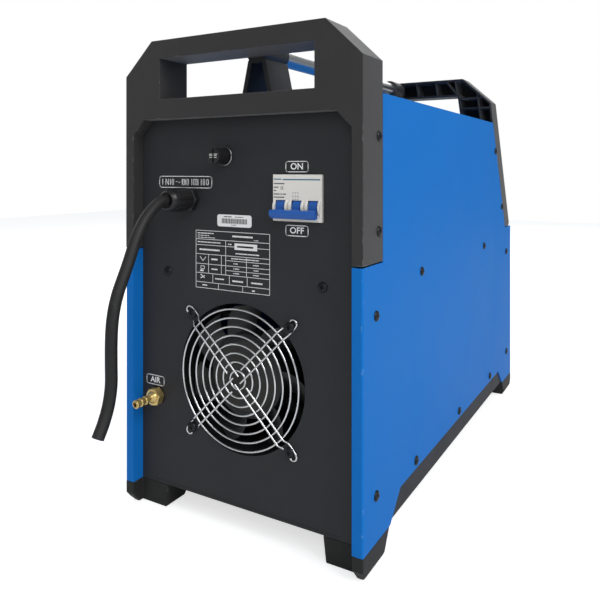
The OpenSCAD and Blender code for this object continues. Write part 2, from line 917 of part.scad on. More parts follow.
module fan_rotor() {
    blade_r0 = fan_hub_d / 2 - 2;
    blade_r1 = fan_bore_r - 4.5;
    chord = 26;
    mid_y = fan_back_y - (rotor_front + rotor_back) / 2;
    color([0.10, 0.10, 0.11])
        difference() {
            union() {
                bar_y(0, fan_z, fan_back_y - rotor_back, fan_back_y - rotor_front,
                      fan_hub_d / 2);
                for (i = [0 : fan_blades - 1])
                    translate([0, mid_y, fan_z])
                        rotate([0, i * 360 / fan_blades, 0])
                            translate([(blade_r0 + blade_r1) / 2, 0, 0])
                                rotate([blade_tilt, 0, 0])
                                    cube([blade_r1 - blade_r0, 2.4, chord], center = true);
            }
            bar_y(0, fan_z, fan_back_y - rotor_back - eps, motor_y + 13,
                  fan_shaft_d / 2 + running);
        }
}

guard_back_y = panel_y + 2;
guard_front_y = guard_back_y + 2 * guard_wire;

module fan_guard() {
    screw_r = fan_screw_pitch * sqrt(2);
    loop_r = guard_leg_half + guard_wire / 2;
    color([0.85, 0.86, 0.88])
        difference() {
            union() {
                for (i = [0 : guard_rings - 1])
                    difference() {
                        bar_y(0, fan_z, guard_front_y - guard_wire, guard_front_y,
                              guard_first_r + i * guard_step + guard_wire / 2);
                        bar_y(0, fan_z, guard_back_y, guard_front_y + eps,
                              guard_first_r + i * guard_step - guard_wire / 2);
                    }
                for (a = [45 : 90 : 315], s = [-1, 1])
                    translate([0, 0, fan_z])
                        rotate([0, a, 0])
                            slab([guard_first_r - guard_wire, screw_r],
                                 [guard_back_y, guard_front_y - guard_wire],
                                 [s * guard_leg_half - guard_wire / 2,
                                  s * guard_leg_half + guard_wire / 2]);
                fan_screw_places()
                    bar_y(0, 0, panel_y, guard_front_y - guard_wire, loop_r);
            }
            fan_screw_places()
                bar_y(0, 0, panel_y - eps, guard_front_y + eps, loop_r - guard_wire);
        }
}

module fan_screws() {
    head_y = guard_front_y - guard_wire;
    color([0.12, 0.12, 0.13])
        fan_screw_places() {
            bar_y(0, 0, fan_back_y - 7, head_y + eps, screw_shank);
            bar_y(0, 0, head_y, head_y + screw_head_h, guard_leg_half + guard_wire / 2);
        }
}

// ---------------------------------------------------------------- breaker

breaker_half = poles * pole_w / 2;
slot_half = toggle_w / 2 + 1;
slot_h = 13.6;
slot_lip = 1;
drum_gap = 0.6;
collar_t = 2.4;

module pole_places() {
    for (i = [0 : poles - 1])
        translate([breaker_x + (i - (poles - 1) / 2) * pole_w, 0, 0])
            children();
}

module breaker_body() {
    color([0.90, 0.89, 0.86]) {
        difference() {
            union() {
                slab([breaker_x - breaker_half, breaker_x + breaker_half],
                     [panel_y - sheet_t - breaker_d, panel_y - sheet_t],
                     [breaker_z - breaker_h / 2, breaker_z + breaker_h / 2]);
                slab([breaker_x - breaker_half, breaker_x + breaker_half],
                     [panel_y - sheet_t - eps, panel_y + nose_out],
                     [breaker_z - nose_h / 2, breaker_z + nose_h / 2]);
                pole_places()
                    both_sides()
                        bar_x(toggle_y, toggle_z, slot_half, slot_half + collar_t,
                              panel_y + nose_out + collar_out - toggle_y);
            }
            pole_places() {
                slab([-slot_half, slot_half], [toggle_y, panel_y + nose_out + eps],
                     [toggle_z - slot_h / 2, toggle_z + slot_h / 2]);
                slab([-slot_half, slot_half],
                     [toggle_y - drum_r - drum_gap, panel_y + nose_out - slot_lip],
                     [toggle_z - drum_r - drum_gap, toggle_z + drum_r + drum_gap]);
            }
        }
        bar_x(toggle_y, toggle_z, breaker_x - breaker_half + 1, breaker_x + breaker_half - 1,
              pin_r);
    }
}

module breaker_toggles() {
    color([0.13, 0.35, 0.68])
        translate([0, toggle_y, toggle_z])
            rotate([-toggle_swing / 2, 0, 0])
                difference() {
                    union() {
                        pole_places() {
                            slab([-toggle_w / 2, toggle_w / 2], [0, toggle_r + 1], [-2, 2]);
                            bar_x(0, 0, -toggle_w / 2, toggle_w / 2, drum_r);
                        }
                        slab([breaker_x - breaker_half + 2, breaker_x + breaker_half - 2],
                             [toggle_r - 2.5, toggle_r + 2.5], [-4, 4]);
                    }
                    bar_x(0, 0, breaker_x - breaker_half, breaker_x + breaker_half,
                          pin_r + running);
                }
}

module breaker_rail() {
    rail_y = panel_y - sheet_t - breaker_d - fit;
    tab_x = breaker_half + 2;
    rail_half = 17.5;
    rail_t = 7.5;
    color([0.72, 0.73, 0.75]) {
        slab([breaker_x - tab_x - sheet_t, breaker_x + tab_x + sheet_t],
             [rail_y - rail_t, rail_y], [breaker_z - rail_half, breaker_z + rail_half]);
        for (s = [-1, 1])
            translate([breaker_x + s * (tab_x + sheet_t / 2), 0, 0])
                slab([-sheet_t / 2, sheet_t / 2], [rail_y - rail_t, panel_y - sheet_t],
                     [breaker_z - rail_half, breaker_z + rail_half]);
    }
}

// ---------------------------------------------------------------- fuse

fuse_flange_t = 2.5;
fuse_bore_r = 4;
fuse_stem_l = 10;
fuse_stem_y = panel_y + fuse_flange_t + fit - fuse_stem_l;

module fuse_holder() {
    barrel_l = fuse_stem_l + fuse_link_l + 4;
    color([0.06, 0.06, 0.07])
        difference() {
            union() {
                bar_y(fuse_x, fuse_z, panel_y, panel_y + fuse_flange_t, fuse_flange_d / 2);
                bar_y(fuse_x, fuse_z, panel_y - barrel_l, panel_y + eps, fuse_cap_d / 2);
            }
            bar_y(fuse_x, fuse_z, fuse_stem_y - fuse_link_l - 1, panel_y + fuse_flange_t + eps,
                  fuse_bore_r);
        }
}

module fuse_cap() {
    y0 = panel_y + fuse_flange_t + fit;
    color([0.06, 0.06, 0.07])
        difference() {
            union() {
                bar_y(fuse_x, fuse_z, y0, panel_y + fuse_out, fuse_cap_d / 2);
                bar_y(fuse_x, fuse_z, fuse_stem_y, y0 + eps, fuse_bore_r - running);
            }
            slab([fuse_x - 1, fuse_x + 1], [panel_y + fuse_out - 1.5, panel_y + fuse_out + eps],
                 [fuse_z - fuse_cap_d, fuse_z + fuse_cap_d]);
        }
}

module fuse_link() {
    color([0.80, 0.80, 0.78])
        bar_y(fuse_x, fuse_z, fuse_stem_y - fuse_link_l, fuse_stem_y, fuse_link_d / 2);
}

// ---------------------------------------------------------------- gland and cord

module cable_gland() {
    r = gland_hex_d / 2;
    color([0.07, 0.07, 0.08]) {
        bar_y(gland_x, gland_z, panel_y - 13, panel_y + eps, gland_thread_d / 2);
        bar_y(gland_x, gland_z, panel_y, panel_y + 7, r, 6);
        turned_y(gland_x, gland_z, panel_y + 6, [
            [0, 0], [r - 2, 0], [r - 2, 3], [r - 0.8, 4], [r - 0.8, gland_out - 14],
            [r - 2.5, gland_out - 9], [cord_d / 2 + 2, gland_out - 6], [0, gland_out - 6]
        ]);
    }
}

module gland_locknut() {
    color([0.07, 0.07, 0.08])
        difference() {
            bar_y(gland_x, gland_z, panel_y - sheet_t - 6, panel_y - sheet_t,
                  gland_hex_d / 2, 6);
            bar_y(gland_x, gland_z, panel_y - sheet_t - 7, panel_y, gland_thread_d / 2 + running);
        }
}

// Direction of the route at point i
function cord_dir(i) =
    let (a = cord_route[max(i - 1, 0)], b = cord_route[min(i + 1, len(cord_route) - 1)],
         d = i == 0 ? [1, 0] : b - a)
    d / norm(d);
// Points of the ring round point i
function cord_ring(i) = [
    for (k = [0 : cord_sides - 1])
        let (a = 360 * k / cord_sides, d = cord_dir(i), q = cord_d / 2 * sin(a))
        [gland_x + cord_d / 2 * cos(a), cord_route[i][0] - d[1] * q,
         cord_route[i][1] + d[0] * q]
];

module power_cord() {
    rows = [for (i = [0 : 2 : len(cord_route) - 1]) cord_ring(i)];
    count = len(rows);
    n = cord_sides;
    skin = [
        for (i = [0 : count - 2], k = [0 : n - 1], half = [0, 1])
            let (a = i * n + k, b = i * n + (k + 1) % n)
            half == 0 ? [a, b, b + n] : [a, b + n, a + n]
    ];
    ends = concat([[for (k = [n - 1 : -1 : 0]) k]],
                  [[for (k = [0 : n - 1]) (count - 1) * n + k]]);
    color([0.05, 0.05, 0.05])
        polyhedron(points = [for (row = rows) each row], faces = concat(skin, ends));
}

// ---------------------------------------------------------------- air line

air_thread_r = air_hex_d / 2 - 3;

module air_inlet() {
    hex_l = 9;
    tail_l = air_out - hex_l;
    r = barb_d / 2;
    root = r - 0.9;
    lead = tail_l - (barbs - 1) * barb_step - barb_wall - 4;
    color([0.80, 0.62, 0.25])
        difference() {
            union() {
                bar_y(air_x, air_z, panel_y - 13, panel_y + eps, air_thread_r);
                bar_y(air_x, air_z, panel_y, panel_y + hex_l, air_hex_d / 2, 6);
                turned_y(air_x, air_z, panel_y + hex_l - eps, concat(
                    [[0, 0], [root, 0]],
                    [for (i = [0 : barbs - 1], p = [0 : 2])
                        let (h = eps + lead + i * barb_step)
                        p == 0 ? [root, h] : p == 1 ? [r, h] : [r, h + barb_wall]],
                    [[root, tail_l + eps], [0, tail_l + eps]]));
            }
            bar_y(air_x, air_z, panel_y - 13 - eps, panel_y + air_out + eps, air_bore_d / 2);
        }
}

module air_locknut() {
    color([0.80, 0.62, 0.25])
        difference() {
            bar_y(air_x, air_z, panel_y - sheet_t - 5, panel_y - sheet_t, air_hex_d / 2, 6);
            bar_y(air_x, air_z, panel_y - sheet_t - 6, panel_y, air_thread_r + running);
        }
}

valve_y1 = -panel_y + valve_back;
valve_y0 = valve_y1 - valve_l;
valve_half = valve_w / 2;
coil_d = 24;
coil_h = 36;

module air_hose() {
    color([0.12, 0.25, 0.55])
        difference() {
            bar_y(air_x, air_z, valve_y1, panel_y - 13, hose_d / 2);
            bar_y(air_x, air_z, valve_y1 - eps, panel_y - 12, air_bore_d / 2);
        }
}

module air_valve() {
    color([0.75, 0.58, 0.24]) {
        slab([air_x - valve_half, air_x + valve_half], [valve_y0, valve_y1],
             [air_z - valve_half, air_z + valve_half]);
        translate([air_x, (valve_y0 + valve_y1) / 2, air_z + valve_half - eps])
            cylinder(h = coil_h, r = coil_d / 2);
    }
}

module valve_bracket() {
    x0 = air_x - valve_half;
    x1 = air_x + valve_half;
    color([0.60, 0.61, 0.63]) {
        slab([x0, x1], [valve_y0, valve_y1], [tray_top, tray_top + 2]);
        slab([x0, x1], [valve_y0, valve_y1], [air_z - valve_half - 2, air_z - valve_half]);
        slab([x0, x0 + 2], [valve_y0, valve_y1], [tray_top, air_z - valve_half]);
    }
}

// ---------------------------------------------------------------- output sockets

module torch_flange() {
    r = torch_d / 2;
    color([0.07, 0.07, 0.08])
        difference() {
            union() {
                slab([torch_x - r - 8, torch_x + r + 8], [-panel_y - 6, -panel_y],
                     [socket_z - r - 8, socket_z + r + 8]);
                bar_y(torch_x, socket_z, -panel_y - torch_out + 6, -panel_y - 5, r);
            }
            bar_y(torch_x, socket_z, -panel_y - torch_out, -panel_y + eps, r - 4);
        }
}

module torch_socket() {
    r = torch_d / 2 - 4 - running;
    color([0.80, 0.62, 0.25])
        difference() {
            bar_y(torch_x, socket_z, -panel_y - torch_out, -panel_y + 14, r);
            bar_y(torch_x, socket_z, -panel_y - torch_out - eps,
                  -panel_y - torch_out + socket_bore_l, torch_bore_d / 2);
        }
}

module work_socket_shell() {
    r = work_bore_d / 2 + 5;
    color([0.07, 0.07, 0.08])
        difference() {
            union() {
                bar_y(work_x, socket_z, -panel_y - 8, -panel_y, work_d / 2);
                bar_y(work_x, socket_z, -panel_y - work_out, -panel_y - 7, work_d / 2 - 6);
            }
            bar_y(work_x, socket_z, -panel_y - work_out - eps, -panel_y + eps, r);
        }
}

module work_socket_insert() {
    r = work_bore_d / 2 + 5 - running;
    color([0.80, 0.62, 0.25])
        difference() {
            bar_y(work_x, socket_z, -panel_y - work_out + 1, -panel_y + 14, r);
            bar_y(work_x, socket_z, -panel_y - work_out, -panel_y - work_out + 1 + socket_bore_l,
                  work_bore_d / 2);
        }
}

// ---------------------------------------------------------------- controls

knob_x = -post_x + 70;
gauge_x = post_x - 54;
display_x = -post_x + 87;
knob_row = control_row + 12;

module control_fascia() {
    top = recess_top_z - fit;
    color([0.10, 0.10, 0.11])
        difference() {
            intersection() {
                along_x(-post_x + fit, post_x - fit)
                    polygon([
                        [fascia_y(fascia_z), fascia_z], [fascia_y(top), top],
                        [fascia_y(top) + fascia_level_t, top],
                        [fascia_y(fascia_z) + fascia_level_t, fascia_z]
                    ]);
                along_y(-hl, 0)
                    recess_outline(fascia_z - eps, fit);
            }
            on_fascia(knob_x, knob_row)
                fascia_hole(shaft_d / 2 + 1);
            button_places()
                fascia_hole(button_d / 2 + fit);
            on_fascia(gauge_x, control_top - 6)
                fascia_hole(gauge_d / 2 - 3 + fit);
            on_fascia(gauge_x, knob_row)
                fascia_hole(shaft_d / 2 + 1);
            on_fascia(display_x, control_top)
                translate([-display_w / 2 - fit, -display_h / 2 - fit, -2 * fascia_t])
                    cube([display_w + 2 * fit, display_h + 2 * fit, 4 * fascia_t]);
            lamp_places()
                fascia_hole(2.5 + fit);
        }
}

module fascia_hole(r) {
    translate([0, 0, -2 * fascia_t])
        cylinder(h = 4 * fascia_t, r = r);
}

module button_place(i) {
    on_fascia(-14 + i * button_pitch, control_row)
        children();
}

module button_places() {
    for (i = [0 : 2])
        button_place(i)
            children();
}

module lamp_places() {
    for (i = [0 : 3])
        on_fascia(-8 + i * 14, control_mid)
            children();
}

// Button with a collar behind the fascia that keeps it in
module button(i) {
    color([0.75, 0.76, 0.78])
        button_place(i) {
            translate([0, 0, -fascia_t - 2])
                cylinder(h = fascia_t + 2 + button_out, r = button_d / 2);
            translate([0, 0, -fascia_t - 2])
                cylinder(h = 2 - fit, r = button_d / 2 + 1.5);
        }
}

module mode_button() button(0);
module trigger_button() button(1);
module purge_button() button(2);

module current_encoder() {
    color([0.55, 0.56, 0.58])
        on_fascia(knob_x, knob_row) {
            translate([0, 0, -fascia_t - 14])
                cylinder(h = 14, r = encoder_d / 2);
            translate([0, 0, -fascia_t - eps])
                cylinder(h = fascia_t + eps + knob_h - 3, r = shaft_d / 2);
        }
}

// Knob with grip flats and a blind bore for its shaft
module turned_knob(d, h, flats) {
    difference() {
        translate([0, 0, knob_gap])
            cylinder(h = h, r = d / 2);
        for (i = [0 : flats - 1])
            rotate([0, 0, i * 360 / flats])
                translate([d / 2 + 1.2, 0, 3])
                    cylinder(h = h, r = 2.4);
        translate([0, 0, -eps])
            cylinder(h = h - 2 + eps, r = shaft_d / 2 + running);
    }
}

module current_knob() {
    color([0.15, 0.15, 0.16])
        on_fascia(knob_x, knob_row)
            turned_knob(knob_d, knob_h, 12);
}

module display_window() {
    color([0.05, 0.07, 0.08])
        on_fascia(display_x, control_top)
            translate([-display_w / 2, -display_h / 2, -fascia_t])
                cube([display_w, display_h, fascia_t + 1]);
}

module status_lamps() {
    color([0.85, 0.25, 0.15])
        lamp_places()
            translate([0, 0, -fascia_t])
                cylinder(h = fascia_t + 1, r = 2.5);
}

module gauge_case() {
    r = gauge_d / 2;
    color([0.08, 0.08, 0.09])
        on_fascia(gauge_x, control_top - 6)
            difference() {
                union() {
                    cylinder(h = gauge_out, r = r);
                    translate([0, 0, -fascia_t - 16])
                        cylinder(h = fascia_t + 17, r = r - 3);
                }
                translate([0, 0, -2])
                    cylinder(h = gauge_out + 3, r = r - 4);
            }
}

module gauge_needle() {
    color([0.80, 0.10, 0.08])
        on_fascia(gauge_x, control_top - 6)
            rotate([0, 0, 135]) {
                translate([0, 0, -2 + fit])
                    cylinder(h = 3, r = 2);
                translate([-0.6, -4, 0])
                    cube([1.2, gauge_d / 2 - 4, 0.8]);
            }
}

module gauge_glass() {
    color([0.80, 0.90, 0.95, 0.4])
        on_fascia(gauge_x, control_top - 6)
            translate([0, 0, gauge_out - 2.5])
                cylinder(h = 2, r = gauge_d / 2 - 4 - running);
}

module air_regulator() {
    body_l = 38;
    body_r = 18;
    shaft_out = 9;
    color([0.60, 0.61, 0.63])
        on_fascia(gauge_x, knob_row) {
            translate([0, 0, -fascia_t - body_l])
                cylinder(h = body_l, r = body_r);
            translate([0, 0, -fascia_t - eps])
                cylinder(h = fascia_t + eps + shaft_out, r = shaft_d / 2);
        }
}

module regulator_knob() {
    color([0.15, 0.15, 0.16])
        on_fascia(gauge_x, knob_row)
            turned_knob(regulator_knob_d, 14, 10);
}

// ---------------------------------------------------------------- electrics

sink_x = sink_w / 2 + 4;
sink_y0 = sink_y - sink_l / 2;
sink_base = 10;
sink_top = tray_top + sink_h;

module heatsink(x) {
    fin_t = 2.5;
    pitch = (sink_w - fin_t) / (sink_fins - 1);
    color([0.70, 0.71, 0.73])
        along_y(sink_y0, sink_y0 + sink_l) {
            translate([x - sink_w / 2, tray_top + sink_h - sink_base])
                square([sink_w, sink_base]);
            for (i = [0 : sink_fins - 1])
                translate([x - sink_w / 2 + i * pitch, tray_top])
                    square([fin_t, sink_h - sink_base + eps]);
        }
}

module primary_heatsink() heatsink(-sink_x);
module output_heatsink() heatsink(sink_x);

module power_modules() {
    color([0.12, 0.12, 0.13])
        for (i = [0 : 1])
            translate([-sink_x, sink_y0 + sink_l / 4 + i * sink_l / 2, sink_top])
                slab([-module_w / 2, module_w / 2], [-module_l / 2, module_l / 2],
                     [0, module_h]);
}

module rectifiers() {
    w = rectifier_w / 2;
    step = (sink_l - 2 * rectifier_w) / 2;
    color([0.12, 0.12, 0.13])
        for (i = [0 : 2])
            translate([sink_x, sink_y0 + rectifier_w + i * step, sink_top])
                slab([-w, w], [-w, w], [0, rectifier_h]);
}

module main_transformer() {
    gap = 10;
    x = [-transformer_w - transformer_in, -transformer_in];
    y0 = -panel_y + transformer_l;
    y1 = y0 + transformer_l;
    wound = (transformer_h - 2 * gap) / 2;
    mid = tray_top + transformer_h / 2;
    color([0.22, 0.20, 0.18]) {
        slab(x, [y0, y0 + core_t], [tray_top, tray_top + transformer_h]);
        slab(x, [y1 - core_t, y1], [tray_top, tray_top + transformer_h]);
        slab(x, [y0 + core_t - eps, y1 - core_t + eps], [mid - wound, mid + wound]);
    }
}

module output_inductor() {
    r = inductor_d / 2;
    color([0.55, 0.30, 0.12])
        translate([-transformer_in + inductor_gap + r, -panel_y + inductor_back + r, tray_top])
            difference() {
                cylinder(h = inductor_h, r = r);
                translate([0, 0, -eps])
                    cylinder(h = inductor_h + 2 * eps, r = r / 2);
            }
}

module power_board() {
    board_z = shelf_top + standoff_h;
    board_mid = 35;
    corner_in = 8;
    board_gap = 10;
    part_z = board_z + board_t - eps / 2;
    x1 = board_w / 2;
    y0 = board_mid - board_l / 2;
    y1 = board_mid + board_l / 2;
    driver = [50, 90, 46];
    color([0.10, 0.35, 0.18]) {
        slab([-x1, x1], [y0, y1], [board_z, board_z + board_t]);
        for (x = [-x1 + corner_in, x1 - corner_in], y = [y0 + corner_in, y1 - corner_in])
            translate([x, y, shelf_top])
                cylinder(h = standoff_h + eps / 2, r = corner_in / 2);
        for (i = [0 : 3])
            translate([x1 - capacitor_d / 2 - board_gap,
                       y0 + capacitor_d + i * (capacitor_d + board_gap / 2), part_z])
                cylinder(h = capacitor_h, r = capacitor_d / 2);
        slab([-x1 + board_gap, -x1 + board_gap + driver[0]],
             [y0 + 2 * board_gap, y0 + 2 * board_gap + driver[1]],
             [part_z, part_z + driver[2]]);
    }
}

base_tray();
left_side_panel();
right_side_panel();
top_cover();
rear_panel();
front_panel();
control_fascia();
mid_shelf();
rear_frame();
front_frame();
carry_tube();
rear_tube_bracket();
front_tube_bracket();
rear_left_foot();
rear_right_foot();
front_left_foot();
front_right_foot();
casing_screws();
panel_screws();
fan_ring();
fan_rotor();
fan_guard();
fan_screws();
breaker_body();
breaker_toggles();
breaker_rail();
fuse_holder();
fuse_cap();
fuse_link();
cable_gland();
gland_locknut();
power_cord();
air_inlet();
air_locknut();
air_hose();
air_valve();
valve_bracket();
torch_flange();
torch_socket();
work_socket_shell();
work_socket_insert();
current_knob();
current_encoder();
mode_button();
trigger_button();
purge_button();
display_window();
status_lamps();
gauge_case();
gauge_needle();
gauge_glass();
air_regulator();
regulator_knob();
primary_heatsink();
output_heatsink();
power_modules();
rectifiers();
main_transformer();
output_inductor();
power_board();
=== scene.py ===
"""Dresses the plasma cutter power unit: folded blue casing, black carrying frames and all its fittings.

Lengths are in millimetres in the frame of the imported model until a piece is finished, when its mesh
is scaled to metres. +Y is the rear with the mains side, +X the left seen from behind, +Z up.
"""

from __future__ import annotations

import logging
import math
from dataclasses import dataclass, field
from enum import Enum
from typing import Callable, Sequence

import bmesh
import bpy
from mathutils import Matrix, Vector

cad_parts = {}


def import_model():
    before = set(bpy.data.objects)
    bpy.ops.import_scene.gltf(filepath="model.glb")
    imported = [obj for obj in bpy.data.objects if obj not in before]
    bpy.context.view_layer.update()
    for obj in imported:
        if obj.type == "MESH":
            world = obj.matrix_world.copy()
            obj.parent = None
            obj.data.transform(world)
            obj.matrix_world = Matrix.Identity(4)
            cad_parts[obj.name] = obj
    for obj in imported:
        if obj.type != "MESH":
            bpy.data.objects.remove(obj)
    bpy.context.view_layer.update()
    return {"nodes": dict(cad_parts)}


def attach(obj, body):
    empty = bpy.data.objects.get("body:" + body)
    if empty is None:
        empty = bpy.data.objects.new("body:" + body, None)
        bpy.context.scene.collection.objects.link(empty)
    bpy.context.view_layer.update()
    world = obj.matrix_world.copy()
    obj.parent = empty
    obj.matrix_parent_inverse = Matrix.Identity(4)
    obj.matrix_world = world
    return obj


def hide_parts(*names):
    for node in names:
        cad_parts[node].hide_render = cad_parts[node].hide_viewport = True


LOG = logging.getLogger("power_unit")
MM = 0.001
WHITE = (1.0, 1.0, 1.0, 1.0)
Point = tuple[float, float, float]
Outline = Sequence[tuple[float, float]]
EdgeTest = Callable[[bmesh.types.BMEdge], bool]
Build = bmesh.types.BMesh
Node = bpy.types.Node
Socket = bpy.types.NodeSocket
Thing = bpy.types.Object


# --- names


class Body(str, Enum):
    """The bodies that pieces ride on."""

    CASING = "casing"
    FAN = "fan_rotor"
    TOGGLES = "breaker_toggles"
    FUSE = "fuse_carrier"
    CURRENT = "current_knob"
    REGULATOR = "regulator_knob"
    NEEDLE = "gauge_needle"
    MODE = "mode_button"
    TRIGGER = "trigger_button"
    PURGE = "purge_button"


class Effect(str, Enum):
    """The surface effects that materials share."""

    GRAIN = "fine_grain"
    MOTTLE = "tone_mottle"
    EDGE_RUB = "edge_rub"
    SCUFFS = "thin_scuffs"
    DUST = "settled_dust"


class Facing(Enum):
    """Which way a flat feature looks."""

    REAR = ((-1, 0, 0), (0, 0, 1), (0, 1, 0))
    FRONT = ((1, 0, 0), (0, 0, 1), (0, -1, 0))
    RIGHT = ((0, -1, 0), (0, 0, 1), (-1, 0, 0))
    LEFT = ((0, 1, 0), (0, 0, 1), (1, 0, 0))

    def at(self, x: float, y: float, z: float) -> Matrix:
        """Returns the frame at a point whose local Z looks this way and whose local Y is upwards."""
        across, up, out = (Vector(v) for v in self.value)
        return shift(x, y, z) @ Matrix((across, up, out)).transposed().to_4x4()


# --- sizes


@dataclass(frozen=True)
class Casing:
    """Sizes of the casing that several sub-assemblies share."""

    half_width: float = 143.0
    half_length: float = 300.0
    panel_y: float = 285.0
    front_shoulder: float = 273.0
    front_edge_y: float = -259.0
    frame_lean: float = 26.3
    fascia_foot: float = 276.0
    fascia_back: float = 19.3

    def front_edge(self, z: float) -> float:
        """Returns where the leaning front edge of the side panels is at a height."""
        return self.front_edge_y + (z - self.front_shoulder) * math.tan(math.radians(self.frame_lean))

    def on_fascia(self, x: float, slope: float) -> Matrix:
        """Returns the frame of a place on the control fascia.

        Args:
            x: Distance from the middle of the casing.
            slope: Distance up the sloping face from its lower edge.

        Returns:
            The frame, whose local Z is the way out of the face.
        """
        lean = math.radians(self.frame_lean)
        foot_y = self.front_edge(self.fascia_foot) - self.fascia_back
        spot = shift(x, foot_y + slope * math.sin(lean), self.fascia_foot + slope * math.cos(lean))
        return spot @ spin(90 - self.frame_lean, "X")


CASE = Casing()


# --- studio


@dataclass
class Softbox:
    """A large square lamp aimed at the unit."""

    name: str
    place: Point
    size: float
    power: float
    aim: Point = (0.0, 0.0, 0.25)

    def build(self) -> None:
        """Adds the lamp to the scene."""
        data = bpy.data.lights.new(self.name, "AREA")
        data.energy = self.power
        data.size = self.size
        lamp = bpy.data.objects.new(self.name, data)
        lamp.location = self.place
        lamp.rotation_euler = (Vector(self.aim) - Vector(self.place)).to_track_quat("-Z", "Y").to_euler()
        bpy.context.scene.collection.objects.link(lamp)


@dataclass
class Studio:
    """Camera, floor, lamps and surroundings."""

    camera_place: Point = (-0.3742, 0.8076, 0.3665)
    camera_turn: float = 210.17
    lens: float = 38.0
    shift_y: float = -0.2162
    floor_size: float = 8.0
    floor_glow: float = 0.62
    floor_paint: tuple[float, ...] = (0.82, 0.82, 0.82, 1.0)
    floor_rough: float = 0.9
    surround: tuple[float, ...] = (0.93, 0.96, 1.0, 1.0)
    world_level: float = 0.38
    world_sheen: float = 0.24
    lamps: list[Softbox] = field(
        default_factory=lambda: [
            Softbox("key_softbox", (-2.4, 0.7, 2.0), 1.6, 50.0),
            Softbox("rear_softbox", (-1.0, 2.6, 1.8), 1.8, 20.0),
            Softbox("front_softbox", (0.6, -2.6, 1.8), 1.8, 20.0),
            Softbox("left_softbox", (2.5, 0.0, 1.5), 1.6, 12.0),
        ]
    )

    def build(self) -> None:
        """Sets up the whole studio."""
        scene = bpy.context.scene
        scene.view_settings.view_transform = "Standard"
        self._camera(scene)
        self._world(scene)
        self._floor()
        for lamp in self.lamps:
            lamp.build()
        LOG.info("studio with %d lamps", len(self.lamps))

    def _camera(self, scene: bpy.types.Scene) -> None:
        """Adds the camera at the viewing angle of the unit's rear right corner."""
        data = bpy.data.cameras.new("viewer")
        data.lens = self.lens
        data.shift_y = self.shift_y
        data.clip_start = 0.01
        camera = bpy.data.objects.new("viewer", data)
        camera.location = self.camera_place
        camera.rotation_euler = (math.pi / 2, 0.0, math.radians(self.camera_turn))
        scene.collection.objects.link(camera)
        scene.camera = camera

    def _world(self, scene: bpy.types.Scene) -> None:
        """Lights the unit from a pale surround that is white to the camera and dimmer in reflections."""
        world = bpy.data.worlds.new("surround")
        world.use_nodes = True
        sketch = TreeSketch(world.node_tree)
        path = sketch.add("ShaderNodeLightPath")
        dimmer = sketch.add("ShaderNodeMapRange", {
            "Value": path.outputs["Is Glossy Ray"], "To Min": self.world_level, "To Max": self.world_sheen,
        })
        light = world.node_tree.nodes["Background"]
        light.inputs["Color"].default_value = self.surround
        sketch.feed(light.inputs["Strength"], dimmer.outputs["Result"])
        shown = sketch.add("ShaderNodeBackground", {"Color": WHITE})
        mix = sketch.add("ShaderNodeMixShader", {0: sketch.seen(), 1: light.outputs[0], 2: shown.outputs[0]})
        sketch.feed(world.node_tree.nodes["World Output"].inputs["Surface"], mix.outputs[0])
        scene.world = world

    def _floor(self) -> None:
        """Adds the pale floor, which glows a little to the camera and keeps the unit's shadow."""
        bm = bmesh.new()
        bmesh.ops.create_grid(bm, x_segments=1, y_segments=1, size=self.floor_size / 2)
        floor = link_mesh("floor", bm)
        material = bpy.data.materials.new("floor_paint")
        material.use_nodes = True
        nodes = material.node_tree.nodes
        paint = nodes["Principled BSDF"]
        paint.inputs["Base Color"].default_value = self.floor_paint
        paint.inputs["Roughness"].default_value = self.floor_rough
        sketch = TreeSketch(material.node_tree)
        strength = sketch.math("MULTIPLY", sketch.seen(), self.floor_glow)
        glow = sketch.add("ShaderNodeEmission", {"Color": WHITE, "Strength": strength})
        both = sketch.add("ShaderNodeAddShader", {0: paint.outputs[0], 1: glow.outputs[0]})
        sketch.feed(nodes["Material Output"].inputs["Surface"], both.outputs[0])
        floor.data.materials.append(material)


# --- finishes


def linear(rgb: Sequence[float]) -> tuple[float, float, float, float]:
    """Returns the scene colour of a screen colour given from 0 to 255."""
    def one(value: float) -> float:
        """Returns one channel."""
        v = value / 255
        return v / 12.92 if v <= 0.04045 else ((v + 0.055) / 1.055) ** 2.4

    return (one(rgb[0]), one(rgb[1]), one(rgb[2]), 1.0)


class TreeSketch:
    """A node tree that is being drawn, with short ways to add and join nodes."""

    def __init__(self, tree: bpy.types.NodeTree) -> None:
        """Draws in the given tree."""
        self.tree = tree

    def add(self, kind: str, feeds: dict | None = None, **settings: object) -> Node:
        """Adds a node.

        Args:
            kind: The node's type.
            feeds: Value or source socket of its inputs, by name or number.
            settings: Properties to set on it.

        Returns:
            The new node.
        """
        node = self.tree.nodes.new(kind)
        for name, value in settings.items():
            setattr(node, name, value)
        for key, value in (feeds or {}).items():
            self.feed(node.inputs[key], value)
        return node

    def feed(self, target: Socket, value: object) -> None:
        """Links a socket to its source or sets its value."""
        if isinstance(value, Socket):
            self.tree.links.new(value, target)
        else:
            target.default_value = value

    def math(self, operation: str, a: object, b: object = 0.0, clamp: bool = False) -> Socket:
        """Adds a math node on two numbers or sockets and returns its result."""
        return self.add("ShaderNodeMath", {0: a, 1: b}, operation=operation, use_clamp=clamp).outputs[0]

    def noise(self, vector: object, scale: object, detail: float, distort: float = 0.0) -> Socket:
        """Adds a noise texture on a vector and returns its value."""
        feeds = {"Vector": vector, "Scale": scale, "Detail": detail, "Distortion": distort}
        return self.add("ShaderNodeTexNoise", feeds).outputs[0]

    def seen(self) -> Socket:
        """Returns 1 for rays that show a surround directly or through something clear."""
        path = self.add("ShaderNodeLightPath").outputs
        return self.math("MAXIMUM", path["Is Camera Ray"], path["Is Transmission Ray"])


